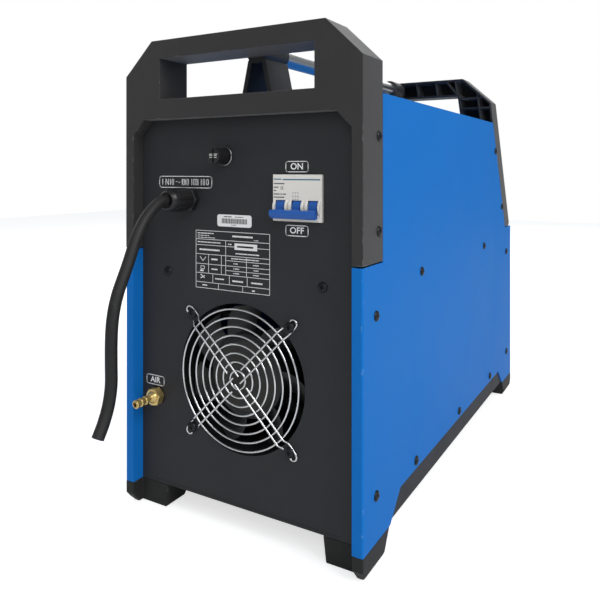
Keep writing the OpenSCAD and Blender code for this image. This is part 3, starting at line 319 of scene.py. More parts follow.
class Effects:
    """The shared shader node groups, each drawn once."""

    def __init__(self) -> None:
        """Draws all the groups."""
        makers = (self._grain, self._mottle, self._edge_rub, self._scuffs, self._dust)
        self.groups = {effect: draw() for effect, draw in zip(Effect, makers)}

    def place(self, sketch: TreeSketch, effect: Effect, **values: object) -> Socket:
        """Places a group in a material.

        Args:
            sketch: The material's tree.
            effect: Which group to place.
            values: Number or socket for each named input.

        Returns:
            The group's output socket.
        """
        return sketch.add("ShaderNodeGroup", values, node_tree=self.groups[effect]).outputs[0]

    @staticmethod
    def _group(effect: Effect, inputs: Sequence[str], output: str) -> tuple[TreeSketch, dict, Socket]:
        """Starts a group with a vector input and float inputs, and returns it with its sockets."""
        tree = bpy.data.node_groups.new(effect.value, "ShaderNodeTree")
        tree.interface.new_socket("Vector", in_out="INPUT", socket_type="NodeSocketVector")
        for name in inputs:
            tree.interface.new_socket(name, in_out="INPUT", socket_type="NodeSocketFloat")
        tree.interface.new_socket(output, in_out="OUTPUT", socket_type="NodeSocketFloat")
        sketch = TreeSketch(tree)
        entry = sketch.add("NodeGroupInput")
        result = sketch.add("NodeGroupOutput")
        return sketch, {s.name: s for s in entry.outputs}, result.inputs[0]

    def _grain(self) -> bpy.types.NodeTree:
        """Draws the moulded or powder-coated grain: a height from 0 to 1."""
        s, given, out = self._group(Effect.GRAIN, ["Size", "Waviness"], "Height")
        fine = s.noise(given["Vector"], s.math("DIVIDE", 1.0, given["Size"]), 3.0)
        broad = s.noise(given["Vector"], s.math("DIVIDE", 0.12, given["Size"]), 2.0)
        s.feed(out, s.math("ADD", fine, s.math("MULTIPLY", broad, given["Waviness"])))
        return s.tree

    def _mottle(self) -> bpy.types.NodeTree:
        """Draws slow changes of tone: a factor near 0.5."""
        s, given, out = self._group(Effect.MOTTLE, ["Size"], "Tone")
        s.feed(out, s.noise(given["Vector"], s.math("DIVIDE", 1.0, given["Size"]), 5.0, 0.4))
        return s.tree

    def _edge_rub(self) -> bpy.types.NodeTree:
        """Draws patchy rubbing along the edges that the mesh marks: partly rubbed wear and partly a painted
        highlight.
        """
        s, given, out = self._group(Effect.EDGE_RUB, ["Edge", "Amount"], "Mask")
        patch = s.noise(given["Vector"], 90.0, 6.0, 0.6)
        lifted = s.math("SUBTRACT", patch, s.math("SUBTRACT", 0.72, s.math("MULTIPLY", given["Amount"], 0.45)))
        s.feed(out, s.math("MULTIPLY", s.math("MULTIPLY", lifted, 7.0, True), given["Edge"]))
        return s.tree

    def _scuffs(self) -> bpy.types.NodeTree:
        """Draws thin, sparse scuff marks in two directions."""
        s, given, out = self._group(Effect.SCUFFS, ["Amount"], "Mask")
        total = None
        for stretch in ((14.0, 260.0, 30.0), (240.0, 20.0, 300.0)):
            scaled = s.add("ShaderNodeVectorMath", {0: given["Vector"], 1: stretch}, operation="MULTIPLY")
            line = s.math("SUBTRACT", s.noise(scaled.outputs[0], 1.0, 2.0, 0.2), 0.70)
            mark = s.math("MULTIPLY", line, 9.0, True)
            total = mark if total is None else s.math("MAXIMUM", total, mark)
        s.feed(out, s.math("MULTIPLY", total, given["Amount"]))
        return s.tree

    def _dust(self) -> bpy.types.NodeTree:
        """Draws dust that settles on upward faces in soft patches."""
        s, given, out = self._group(Effect.DUST, ["Up", "Amount"], "Mask")
        patch = s.math("MULTIPLY", s.math("SUBTRACT", s.noise(given["Vector"], 38.0, 8.0, 0.3), 0.38), 3.0, True)
        speck = s.math("MULTIPLY", s.math("SUBTRACT", s.noise(given["Vector"], 900.0, 1.0), 0.62), 6.0, True)
        lying = s.math("ADD", s.math("MULTIPLY", given["Up"], 0.85, True), 0.15)
        cover = s.math("ADD", s.math("MULTIPLY", patch, 0.55), s.math("MULTIPLY", speck, 0.6))
        s.feed(out, s.math("MULTIPLY", s.math("MULTIPLY", cover, lying), given["Amount"], True))
        return s.tree


@dataclass(frozen=True)
class Finish:
    """How one surface looks. Colours are screen values, and sizes are in millimetres."""

    name: str
    rgb: tuple[int, int, int]
    roughness: float = 0.5
    metallic: float = 0.0
    coat: float = 0.0
    specular: float = 0.5
    mottle: float = 0.10
    mottle_size: float = 45.0
    grain_size: float = 0.7
    grain_depth: float = 0.02
    waviness: float = 0.6
    uneven_gloss: float = 0.10
    stretch: Point = (1.0, 1.0, 1.0)
    # Lighter colour on the rounded edges: partly rubbed wear and partly a painted highlight.
    rub_rgb: tuple[int, int, int] = (150, 152, 155)
    rub: float = 0.0
    scuff: float = 0.0
    scuff_rgb: tuple[int, int, int] = (150, 150, 150)
    dust: float = 0.0
    dust_rgb: tuple[int, int, int] = (150, 146, 138)
    sheen: float = 0.0
    clear: float = 0.0
    glow: float = 0.0
    rub_gloss: float = 0.42
    scuff_gloss: float = 0.62
    dust_gloss: float = 0.85

    def build(self, effects: Effects) -> bpy.types.Material:
        """Makes the material.

        Args:
            effects: The shared node groups.

        Returns:
            The finished material.
        """
        material = bpy.data.materials.new(self.name)
        material.use_nodes = True
        material.diffuse_color = linear(self.rgb)
        sketch = TreeSketch(material.node_tree)
        shader = material.node_tree.nodes["Principled BSDF"]
        place = self._placed(sketch)
        colour, gloss = self._tones(sketch, effects, place)
        colour, gloss = self._marks(sketch, effects, place, colour, gloss)
        looks = {
            "Base Color": colour, "Roughness": gloss, "Metallic": self.metallic, "Specular IOR Level": self.specular,
            "Coat Weight": self.coat, "Coat Roughness": 0.12, "Sheen Weight": self.sheen, "Sheen Roughness": 0.45,
            "Transmission Weight": self.clear,
        }
        if self.glow:
            looks |= {"Emission Color": colour, "Emission Strength": self.glow}
        if self.grain_depth:
            looks["Normal"] = self._relief(sketch, effects, place)
        for name, value in looks.items():
            sketch.feed(shader.inputs[name], value)
        return material

    def _placed(self, sketch: TreeSketch) -> Socket:
        """Returns the object coordinates, stretched along the grain's direction."""
        where = sketch.add("ShaderNodeTexCoord").outputs["Object"]
        return sketch.add("ShaderNodeMapping", {"Vector": where, "Scale": self.stretch}).outputs[0]

    def _tones(self, sketch: TreeSketch, effects: Effects, place: Socket) -> tuple:
        """Returns sockets for the mottled colour and the uneven roughness."""
        tone = effects.place(sketch, Effect.MOTTLE, Vector=place, Size=self.mottle_size * MM)
        base = linear(self.rgb)[:3]
        shares = (1 - self.mottle, 1 + self.mottle)
        dark, light = (tuple(min(1.0, c * share) for c in base) + (1.0,) for share in shares)
        ramp = sketch.add("ShaderNodeMix", {"Factor": tone, "A": dark, "B": light}, data_type="RGBA")
        spread = sketch.math("MULTIPLY", sketch.math("SUBTRACT", tone, 0.5), self.uneven_gloss * 2)
        return ramp.outputs["Result"], sketch.math("ADD", spread, self.roughness, True)

    def _marks(self, sketch: TreeSketch, effects: Effects, place: object, colour: object, gloss: object) -> tuple:
        """Returns the colour and roughness with rubbed and painted-highlight edges, scuffs and dust laid over them.
        """
        marks = []
        # Rounded edges made lighter: partly rubbed wear and partly a painted highlight.
        if self.rub:
            edge = sketch.add("ShaderNodeAttribute", attribute_name="rub")
            mask = effects.place(sketch, Effect.EDGE_RUB, Vector=place, Edge=edge.outputs["Fac"], Amount=self.rub)
            marks.append((mask, self.rub_rgb, self.rub_gloss))
        if self.scuff:
            mask = effects.place(sketch, Effect.SCUFFS, Vector=place, Amount=self.scuff)
            marks.append((mask, self.scuff_rgb, self.scuff_gloss))
        if self.dust:
            normal = sketch.add("ShaderNodeNewGeometry").outputs["Normal"]
            parts = sketch.add("ShaderNodeSeparateXYZ", {0: normal})
            mask = effects.place(sketch, Effect.DUST, Vector=place, Up=parts.outputs["Z"], Amount=self.dust)
            marks.append((mask, self.dust_rgb, self.dust_gloss))
        for mask, rgb, roughness in marks:
            over = sketch.add("ShaderNodeMix", {"Factor": mask, "A": colour, "B": linear(rgb)}, data_type="RGBA")
            rough = sketch.add("ShaderNodeMix", {"Factor": mask, "A": gloss, "B": roughness}, data_type="FLOAT")
            colour, gloss = over.outputs["Result"], rough.outputs["Result"]
        return colour, gloss

    def _relief(self, sketch: TreeSketch, effects: Effects, place: object) -> Socket:
        """Returns the normal of the surface's fine relief."""
        size = self.grain_size * MM
        height = effects.place(sketch, Effect.GRAIN, Vector=place, Size=size, Waviness=self.waviness)
        return sketch.add("ShaderNodeBump", {"Height": height, "Distance": self.grain_depth * MM}).outputs[0]


FINISHES = [
    Finish("blue_powder", (20, 112, 195), 0.46, specular=0.07, mottle=0.035, mottle_size=120.0, grain_size=1.1,
           grain_depth=0.045, waviness=1.2, rub=0.25, rub_rgb=(110, 160, 215), dust=0.05, scuff=0.06,
           scuff_rgb=(80, 140, 205)),
    Finish("black_powder", (44, 45, 48), 0.56, specular=0.30, mottle=0.10, grain_size=0.9, grain_depth=0.06,
           rub=0.35, rub_rgb=(95, 97, 100), dust=0.12, scuff=0.10, scuff_rgb=(82, 84, 88)),
    Finish("frame_moulding", (43, 42, 43), 0.58, specular=0.45, sheen=0.24, mottle=0.08, grain_size=0.55,
           grain_depth=0.10, rub=0.35, rub_rgb=(92, 91, 89), dust=0.12, scuff=0.08, scuff_rgb=(88, 87, 85)),
    Finish("fascia_moulding", (40, 41, 43), 0.52, grain_size=0.5, grain_depth=0.06, dust=0.15),
    Finish("foot_rubber", (31, 32, 31), 0.66, specular=0.3, sheen=0.08, grain_size=0.8, grain_depth=0.10, rub=0.22,
           rub_rgb=(80, 79, 77), dust=0.15),
    Finish("zinc_sheet", (150, 153, 156), 0.34, metallic=1.0, mottle=0.22, mottle_size=14.0, grain_depth=0.01),
    Finish("satin_tube", (205, 207, 208), 0.28, metallic=1.0, mottle=0.05, stretch=(1.0, 0.04, 1.0),
           grain_size=0.4, grain_depth=0.012, scuff=0.15, scuff_rgb=(165, 166, 168)),
    Finish("bracket_moulding", (42, 43, 45), 0.50, grain_size=0.6, grain_depth=0.06, dust=0.18, rub=0.3),
    Finish("black_zinc", (44, 45, 47), 0.36, metallic=0.75, mottle=0.2, mottle_size=3.0, grain_depth=0.015,
           rub=0.6, rub_rgb=(165, 163, 158)),
    Finish("fan_moulding", (25, 26, 28), 0.42, grain_depth=0.03, dust=0.12),
    Finish("hub_label", (44, 43, 41), 0.45, mottle=0.15, dust=0.10),
    Finish("bright_wire", (236, 237, 238), 0.22, metallic=1.0, mottle=0.04, grain_depth=0.004, dust=0.10),
    Finish("breaker_white", (236, 233, 226), 0.34, specular=0.5, mottle=0.02, grain_depth=0.012, dust=0.05),
    Finish("breaker_stripe", (40, 104, 136), 0.35, mottle=0.03, grain_depth=0.0),
    Finish("breaker_print", (62, 66, 72), 0.45, mottle=0.05, grain_depth=0.0),
    Finish("toggle_blue", (42, 96, 178), 0.34, specular=0.35, mottle=0.04, grain_depth=0.01, rub=0.15,
           rub_rgb=(90, 135, 205)),
    Finish("slot_shadow", (22, 23, 25), 0.7, grain_depth=0.02),
    Finish("fuse_moulding", (30, 30, 32), 0.30, coat=0.2, grain_depth=0.015, dust=0.08),
    # A light metallic ring on the edge of the black fuse holder's flange: a painted highlight.
    Finish("fuse_rim", (150, 150, 148), 0.22, metallic=0.8, mottle=0.1, grain_depth=0.0),
    Finish("fuse_glass", (214, 222, 222), 0.05, mottle=0.02, grain_depth=0.0),
    Finish("fuse_mark", (196, 196, 192), 0.4, mottle=0.08, grain_depth=0.0),
    Finish("plated_cap", (196, 192, 182), 0.25, metallic=1.0, mottle=0.1, grain_depth=0.006),
    Finish("gland_nylon", (25, 25, 27), 0.38, grain_depth=0.03, rub=0.5, rub_rgb=(86, 86, 88), dust=0.06),
    Finish("cord_rubber", (27, 27, 28), 0.55, specular=0.4, mottle=0.18, mottle_size=16.0, grain_size=0.8,
           grain_depth=0.06, scuff=0.30, scuff_rgb=(88, 87, 85), dust=0.10),
    Finish("cord_cores", (120, 84, 52), 0.45, mottle=0.3, mottle_size=2.0, grain_depth=0.0),
    Finish("turned_brass", (230, 202, 134), 0.28, metallic=0.85, mottle=0.12, mottle_size=6.0, grain_size=0.3,
           grain_depth=0.012, stretch=(1.0, 5.0, 1.0), rub=0.3, rub_rgb=(240, 216, 156), dust=0.10,
           dust_rgb=(110, 92, 62)),
    Finish("hose_blue", (40, 84, 160), 0.38, mottle=0.06, grain_depth=0.01),
    Finish("socket_moulding", (32, 32, 34), 0.36, grain_depth=0.025, rub=0.25, dust=0.1),
    Finish("knob_soft", (38, 38, 40), 0.55, grain_size=0.4, grain_depth=0.04, dust=0.12),
    Finish("knob_mark", (228, 228, 226), 0.45, mottle=0.03, grain_depth=0.0),
    Finish("encoder_steel", (168, 170, 174), 0.30, metallic=1.0, mottle=0.1, grain_depth=0.01),
    Finish("button_anodised", (188, 190, 194), 0.28, metallic=1.0, mottle=0.05, grain_depth=0.008, rub=0.3,
           rub_rgb=(235, 236, 240)),
    Finish("display_smoked", (12, 15, 17), 0.10, coat=0.6, mottle=0.02, grain_depth=0.0),
    Finish("display_digit", (235, 60, 40), 0.4, mottle=0.02, grain_depth=0.0, glow=0.35),
    Finish("lamp_lens", (196, 52, 36), 0.18, coat=0.5, mottle=0.05, grain_depth=0.0),
    Finish("gauge_black", (30, 30, 32), 0.28, coat=0.3, grain_depth=0.01, rub=0.25),
    Finish("gauge_dial", (236, 235, 230), 0.5, mottle=0.02, grain_depth=0.0),
    Finish("gauge_print", (28, 28, 30), 0.5, mottle=0.03, grain_depth=0.0),
    Finish("needle_red", (190, 34, 26), 0.4, mottle=0.04, grain_depth=0.0),
    Finish("gauge_clear", (244, 248, 250), 0.03, mottle=0.01, uneven_gloss=0.01, grain_depth=0.0, clear=1.0),
    Finish("sink_aluminium", (188, 190, 192), 0.36, metallic=1.0, mottle=0.08, stretch=(1.0, 0.05, 1.0),
           grain_size=0.5, grain_depth=0.02),
    Finish("module_epoxy", (36, 36, 38), 0.5, grain_depth=0.03),
    Finish("core_ferrite", (62, 58, 54), 0.62, mottle=0.2, mottle_size=8.0, grain_depth=0.08),
    Finish("copper_enamel", (158, 84, 42), 0.26, metallic=0.85, coat=0.4, mottle=0.15, mottle_size=5.0,
           grain_depth=0.01),
    Finish("board_green", (26, 92, 52), 0.36, coat=0.3, mottle=0.1, mottle_size=10.0, grain_depth=0.01),
    Finish("label_white", (240, 240, 240), 0.5, mottle=0.03, grain_depth=0.0),
    Finish("label_print", (244, 244, 243), 0.5, mottle=0.06, grain_depth=0.0),
]


class Paints:
    """Every finish of the unit, built once and looked up by name."""

    def __init__(self) -> None:
        """Builds all the materials."""
        effects = Effects()
        self.made = {finish.name: finish.build(effects) for finish in FINISHES}
        LOG.info("%d finishes", len(self.made))

    def __getitem__(self, name: str) -> bpy.types.Material:
        """Returns the material of a finish."""
        return self.made[name]


# --- meshes


def link_mesh(name: str, bm: Build) -> Thing:
    """Turns a mesh under construction into an object at the origin and frees it."""
    mesh = bpy.data.meshes.new(name)
    bm.to_mesh(mesh)
    bm.free()
    made = bpy.data.objects.new(name, mesh)
    bpy.context.scene.collection.objects.link(made)
    return made


def settle(made: Thing) -> Thing:
    """Applies an object's modifiers to a plain mesh of its own and removes them."""
    view = bpy.context.evaluated_depsgraph_get()
    mesh = bpy.data.meshes.new_from_object(made.evaluated_get(view))
    made.modifiers.clear()
    made.data = mesh
    return made


def polar(radius: float, angle: float) -> tuple[float, float]:
    """Returns the point at a distance and an angle in radians."""
    return radius * math.cos(angle), radius * math.sin(angle)


def band(bm: Build, a: list, b: list, sides: int) -> None:
    """Joins two rings of points with faces, where either may be a single point."""
    for i in range(sides):
        j = (i + 1) % sides
        around = [a[i % len(a)], a[j % len(a)], b[j % len(b)], b[i % len(b)]]
        bm.faces.new(list(dict.fromkeys(around)))


def rounded(half_w: float, half_h: float, corner: float, count: int) -> Outline:
    """Returns a rectangle whose corners are arcs of so many points."""
    outline = []
    for sx, sy, first in ((1, 1, 0), (-1, 1, 90), (-1, -1, 180), (1, -1, 270)):
        for k in range(count):
            x, y = polar(corner, math.radians(first + k * 90 / (count - 1)))
            outline.append((sx * (half_w - corner) + x, sy * (half_h - corner) + y))
    return outline


def fluted(radius: float, dip: float, flutes: int, sharpness: int, count: int) -> Outline:
    """Returns a round outline with shallow flutes for the fingers."""
    turns = [2 * math.pi * i / count for i in range(count)]
    return [polar(radius - dip * max(0.0, math.cos(a * flutes)) ** sharpness, a) for a in turns]


def shift(x: float, y: float, z: float) -> Matrix:
    """Returns a move."""
    return Matrix.Translation((x, y, z))


def spin(degrees: float, axis: str = "Z") -> Matrix:
    """Returns a turn about an axis."""
    return Matrix.Rotation(math.radians(degrees), 4, axis)


def on_rear(x: float, z: float) -> Matrix:
    """Returns the frame of a place on the outside of the rear panel."""
    return Facing.REAR.at(x, CASE.panel_y, z)


def circle_points(radius: float, count: int, start: float = 0.0) -> list[tuple[float, float]]:
    """Returns points on a circle, from an angle in degrees."""
    return [polar(radius, math.radians(start) + 2 * math.pi * i / count) for i in range(count)]


class Workpiece:
    """A mesh being made in millimetres, face by face of one or more finishes."""

    capital: float = 0.72
    boldness: float = 0.022
    merge: float = 0.00002
    flat_turn: float = 0.5

    def __init__(self, name: str, *finishes: str) -> None:
        """Starts an empty mesh.

        Args:
            name: The piece's name.
            finishes: Its finishes, in the order of their material slots.
        """
        self.name = name
        self.finishes = list(finishes)
        self.bm = bmesh.new()
        self.bm.faces.layers.float.new("rub")
        self.surface = 0

    def use(self, finish: str) -> Workpiece:
        """Gives the faces made from now on another finish."""
        if finish not in self.finishes:
            self.finishes.append(finish)
        self.surface = self.finishes.index(finish)
        return self

    def node(self, name: str) -> Workpiece:
        """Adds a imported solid's mesh, with its doubled points merged and its flats cleaned."""
        extra = bmesh.new()
        extra.from_mesh(NODES[name].data)
        bmesh.ops.remove_doubles(extra, verts=extra.verts, dist=self.merge)
        limit = math.radians(self.flat_turn)
        bmesh.ops.dissolve_limit(extra, angle_limit=limit, verts=extra.verts, edges=extra.edges)
        bmesh.ops.scale(extra, vec=(1 / MM,) * 3, verts=extra.verts)
        return self._take(extra)

    def _take(self, extra: Build, place: Matrix | None = None) -> Workpiece:
        """Adds another mesh's faces to this one and frees it."""
        if place is not None:
            bmesh.ops.transform(extra, matrix=place, verts=extra.verts)
        for face in extra.faces:
            face.material_index = self.surface
        temp = bpy.data.meshes.new("part")
        extra.to_mesh(temp)
        extra.free()
        self.bm.from_mesh(temp)
        bpy.data.meshes.remove(temp)
        return self

    def _solid(self, extra: Build, place: Matrix | None = None) -> Workpiece:
        """Adds a closed mesh with its faces turned outwards."""
        bmesh.ops.recalc_face_normals(extra, faces=extra.faces)
        return self._take(extra, place)

    def join(self, other: Workpiece) -> Workpiece:
        """Adds a finished workpiece in the current finish."""
        return self._take(other.bm)

    def box(self, low: Point, high: Point, place: Matrix | None = None, round_by: float = 0.0) -> Workpiece:
        """Adds a box between two corners, with rounded edges where asked."""
        extra = bmesh.new()
        bmesh.ops.create_cube(extra, size=1.0)
        size = [h - l for l, h in zip(low, high)]
        middle = [(h + l) / 2 for l, h in zip(low, high)]
        bmesh.ops.scale(extra, vec=size, verts=extra.verts)
        bmesh.ops.translate(extra, vec=middle, verts=extra.verts)
        if round_by:
            bmesh.ops.bevel(extra, geom=extra.edges[:], offset=round_by, segments=3, profile=0.5, affect="EDGES")
        return self._take(extra, place)

    def prism(self, outline: Outline, low: float, high: float, place: Matrix | None = None,
              round_by: float = 0.0) -> Workpiece:
        """Adds an outline drawn in X and Y, pulled from one height to another."""
        extra = bmesh.new()
        floor = extra.faces.new([extra.verts.new((x, y, low)) for x, y in outline])
        pulled = bmesh.ops.extrude_face_region(extra, geom=[floor])
        up = [v for v in pulled["geom"] if isinstance(v, bmesh.types.BMVert)]
        bmesh.ops.translate(extra, vec=(0, 0, high - low), verts=up)
        bmesh.ops.recalc_face_normals(extra, faces=extra.faces)
        if round_by:
            edges = [e for e in extra.edges if len(e.link_faces) == 2 and e.calc_face_angle() > 0.6]
            bmesh.ops.bevel(extra, geom=edges, offset=round_by, segments=2, profile=0.5, affect="EDGES")
        return self._take(extra, place)

    def lathe(self, profile: Outline, place: Matrix | None = None, sides: int = 48) -> Workpiece:
        """Adds a solid of revolution about local Z.

        Args:
            profile: Radius and height of each point, from one end to the other. Points of radius 0
                close an end on the axis, and otherwise the profile closes on itself as a ring.
            place: Where to put it.
            sides: Number of steps round it.

        Returns:
            This workpiece.
        """
        extra = bmesh.new()
        rings = []
        for radius, height in profile:
            if radius <= 1e-6:
                rings.append([extra.verts.new((0, 0, height))])
            else:
                rings.append([extra.verts.new((x, y, height)) for x, y in circle_points(radius, sides)])
        pairs = list(zip(rings, rings[1:]))
        if len(rings[0]) > 1 and len(rings[-1]) > 1:
            pairs.append((rings[-1], rings[0]))
        for a, b in pairs:
            if len(a) > 1 or len(b) > 1:
                band(extra, a, b, sides)
        return self._solid(extra, place)

    def tube(self, hole: float, radius: float, low: float, high: float, place: Matrix | None = None,
             sides: int = 48) -> Workpiece:
        """Adds a plain ring or, where its hole is 0, a plain disc, between two heights."""
        return self.lathe([(hole, low), (radius, low), (radius, high), (hole, high)], place, sides)

    def hexagon(self, corner_r: float, low: float, high: float, place: Matrix) -> Workpiece:
        """Adds a hexagon whose outer corners are turned off at a slant, as on a nut."""
        extra = bmesh.new()
        flat = corner_r * math.cos(math.radians(30))
        turned, slant = flat * 0.96, math.tan(math.radians(30))
        rings = ([], [], [])
        sides = 72
        for i in range(sides):
            angle = 2 * math.pi * i / sides
            reach = flat / math.cos(angle % (math.pi / 3) - math.pi / 6)
            shoulder = high - (reach - turned) * slant
            for ring, radius, height in zip(rings, (reach, reach, turned), (low, shoulder, high)):
                ring.append(extra.verts.new((*polar(radius, angle), height)))
        for a, b in zip(rings, rings[1:]):
            band(extra, a, b, sides)
        extra.faces.new(rings[0][::-1])
        extra.faces.new(rings[2])
        return self._solid(extra, place)

    def sweep(self, path: Sequence[Point], radius: float, sides: int = 12) -> Workpiece:
        """Adds a round bar along a path of points, with closed ends."""
        extra = bmesh.new()
        points = [Vector(p) for p in path]
        side = None
        rings = []
        for i, point in enumerate(points):
            ahead = (points[min(i + 1, len(points) - 1)] - points[max(i - 1, 0)]).normalized()
            if side is None:
                side = ahead.orthogonal().normalized()
            side = (side - ahead * side.dot(ahead)).normalized()
            other = ahead.cross(side)
            rings.append([extra.verts.new(point + side * x + other * y) for x, y in circle_points(radius, sides)])
        for a, b in zip(rings, rings[1:]):
            band(extra, a, b, sides)
        extra.faces.new(rings[0][::-1])
        extra.faces.new(rings[-1])
        return self._solid(extra)

    def words(self, text: str, height: float, place: Matrix, raise_by: float = 0.12,
              stretch: float = 1.0) -> Workpiece:
        """Adds a word as thin raised letters, centred on a place.

        Args:
            text: What it says.
            height: Height of a capital.
            place: Frame of the surface it lies on.
            raise_by: How far the letters stand out.
            stretch: Width of the letters against their height.

        Returns:
            This workpiece.
        """
        curve = bpy.data.curves.new("lettering", "FONT")
        curve.body = text
        curve.size = height / self.capital
        curve.align_x = "CENTER"
        curve.align_y = "CENTER"
        curve.extrude = raise_by / 2
        curve.offset = height * self.boldness
        curve.resolution_u = 3
        written = bpy.data.objects.new("lettering", curve)
        bpy.context.scene.collection.objects.link(written)
        view = bpy.context.evaluated_depsgraph_get()
        mesh = bpy.data.meshes.new_from_object(written.evaluated_get(view))
        extra = bmesh.new()
        extra.from_mesh(mesh)
        bmesh.ops.remove_doubles(extra, verts=extra.verts, dist=0.001)
        bmesh.ops.scale(extra, vec=(stretch, 1, 1), verts=extra.verts)
        bpy.data.objects.remove(written)
        bpy.data.curves.remove(curve)
        bpy.data.meshes.remove(mesh)
        return self._take(extra, place @ shift(0, 0, raise_by / 2))

    def stroke(self, path: Outline, width: float, place: Matrix, raise_by: float = 0.12,
               closed: bool = False) -> Workpiece:
        """Adds a thin printed line along points of a surface."""
        ends = list(path) + ([path[0]] if closed else [])
        half = width / 2
        for (x0, y0), (x1, y1) in zip(ends, ends[1:]):
            run = Vector((x1 - x0, y1 - y0))
            spot = place @ shift(x0, y0, 0) @ Matrix.Rotation(math.atan2(run.y, run.x), 4, "Z")
            self.box((-half, -half, 0), (run.length + half, half, raise_by), spot)
        return self

    def frame_line(self, width: float, height: float, corner: float, line: float, place: Matrix) -> Workpiece:
        """Adds a thin printed rectangle with rounded corners, centred on a place."""
        return self.stroke(rounded(width / 2, height / 2, corner, 4), line, place, closed=True)

    def bevel(self, width: float, segments: int = 2, sharper: float = 28.0,
              keep: EdgeTest | None = None) -> Workpiece:
        """Rounds the sharp edges and marks the new faces for rubbed wear and a painted edge highlight.

        Args:
            width: How far the rounding reaches.
            segments: Steps across it.
            sharper: Only edges that turn by more degrees than this are rounded.
            keep: A test of an edge, which is rounded where it is true.

        Returns:
            This workpiece.
        """
        limit = math.radians(sharper)
        edges = [
            e for e in self.bm.edges
            if len(e.link_faces) == 2 and e.calc_face_angle(0.0) > limit and (keep is None or keep(e))
        ]
        made = bmesh.ops.bevel(
            self.bm, geom=edges, offset=width, segments=segments, profile=0.5, affect="EDGES",
            clamp_overlap=True,
        )
        rub = self.bm.faces.layers.float["rub"]
        # Marks the rounded faces, whose lighter colour is partly wear and partly a painted highlight.
        for face in made["faces"]:
            face[rub] = 1.0
        return self

    def cut(self, *tools: Workpiece) -> Workpiece:
        """Takes other workpieces out of this one."""
        target = self._object(1.0)
        for tool in tools:
            blade = tool._object(1.0)
            carve = target.modifiers.new("carve", "BOOLEAN")
            carve.operation = "DIFFERENCE"
            carve.solver = "EXACT"
            carve.object = blade
            settle(target)
            bpy.data.objects.remove(blade)
        self.bm = bmesh.new()
        self.bm.from_mesh(target.data)
        if "rub" not in self.bm.faces.layers.float:
            self.bm.faces.layers.float.new("rub")
        bpy.data.objects.remove(target)
        return self

    def _object(self, scale: float) -> Thing:
        """Returns the mesh as an object at a scale."""
        bmesh.ops.scale(self.bm, vec=(scale,) * 3, verts=self.bm.verts)
        return link_mesh(self.name, self.bm)

    def plain(self, smooth: float = 34.0) -> Thing:
        """Returns the unpainted mesh in metres, shaded smooth except across its sharp edges."""
        made = self._object(MM)
        made.data.polygons.foreach_set("use_smooth", [True] * len(made.data.polygons))
        made.data.set_sharp_from_angle(angle=math.radians(smooth))
        return made

    def piece(self, paints: Paints, slot: str, *replaced: str, body: Body = Body.CASING,
              smooth: float = 32.0) -> Thing:
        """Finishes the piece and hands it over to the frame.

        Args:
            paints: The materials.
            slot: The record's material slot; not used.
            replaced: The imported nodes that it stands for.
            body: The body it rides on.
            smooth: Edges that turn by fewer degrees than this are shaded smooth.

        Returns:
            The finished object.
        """
        made = self.plain(smooth)
        for finish in self.finishes:
            made.data.materials.append(paints[finish])
        weigh = made.modifiers.new("even_shading", "WEIGHTED_NORMAL")
        weigh.keep_sharp = True
        settle(made)
        return hand_over(made, slot, *replaced, body=body)


def hand_over(made: Thing, slot: str, *replaced: str, body: Body = Body.CASING) -> Thing:
    """Rides a finished piece on its body and hides the nodes it stands for."""
    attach(made, body.value)
    if replaced:
        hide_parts(*replaced)
    LOG.info("%-24s on %-16s %6d faces", made.name, body.value, len(made.data.polygons))
    return made


NODES: dict[str, Thing] = {}


# --- repeated forms


class FormTree:
    """A Geometry Nodes tree with named inputs, and the modifier that uses it."""

    def __init__(self, name: str, numbers: dict[str, str]) -> None:
        """Starts a tree.

        Args:
            name: Its name.
            numbers: Socket type of each named input.
        """
        self.tree = bpy.data.node_groups.new(name, "GeometryNodeTree")
        self.tree.interface.new_socket("Geometry", in_out="INPUT", socket_type="NodeSocketGeometry")
        self.keys = {}
        for label, kind in numbers.items():
            made = self.tree.interface.new_socket(label, in_out="INPUT", socket_type=f"NodeSocket{kind}")
            self.keys[label] = made.identifier
        self.tree.interface.new_socket("Geometry", in_out="OUTPUT", socket_type="NodeSocketGeometry")
        self.sketch = TreeSketch(self.tree)
        entry = self.sketch.add("NodeGroupInput")
        self.given = {s.name: s for s in entry.outputs}
        self.out = self.sketch.add("NodeGroupOutput").inputs[0]

    def close(self, geometry: Socket) -> None:
        """Realizes the instances, sets the material and ends the tree."""
        real = self.sketch.add("GeometryNodeRealizeInstances", {0: geometry})
        feeds = {"Geometry": real.outputs[0], "Material": self.given["Material"]}
        self.sketch.feed(self.out, self.sketch.add("GeometryNodeSetMaterial", feeds).outputs[0])

    def copies(self, points: Socket, turn: Socket, **more: object) -> None:
        """Sets the input named Part on points and ends the tree.

        Args:
            points: Points to set it on.
            turn: Rotation of each copy.
            more: Other inputs of the node that makes the copies.
        """
        part = self.sketch.add("GeometryNodeObjectInfo", {"Object": self.given["Part"]})
        feeds = {"Points": points, "Instance": part.outputs["Geometry"], "Rotation": turn, **more}
        self.close(self.sketch.add("GeometryNodeInstanceOnPoints", feeds).outputs[0])

    def grow(self, carrier: Thing, **values: object) -> Thing:
        """Runs the tree on an object and leaves a plain mesh.

        Args:
            carrier: The object whose geometry goes in.
            values: Value of each named input, with underscores for spaces.

        Returns:
            The carrier, with the result as its mesh.
        """
        form = carrier.modifiers.new("form", "NODES")
        form.node_group = self.tree
        for label, value in values.items():
            form[self.keys[label.replace("_", " ")]] = value
        if carrier.type == "MESH":
            return settle(carrier)
        view = bpy.context.evaluated_depsgraph_get()
        mesh = bpy.data.meshes.new_from_object(carrier.evaluated_get(view))
        name = carrier.name
        bpy.data.objects.remove(carrier)
        made = bpy.data.objects.new(name, mesh)
        bpy.context.scene.collection.objects.link(made)
        return made


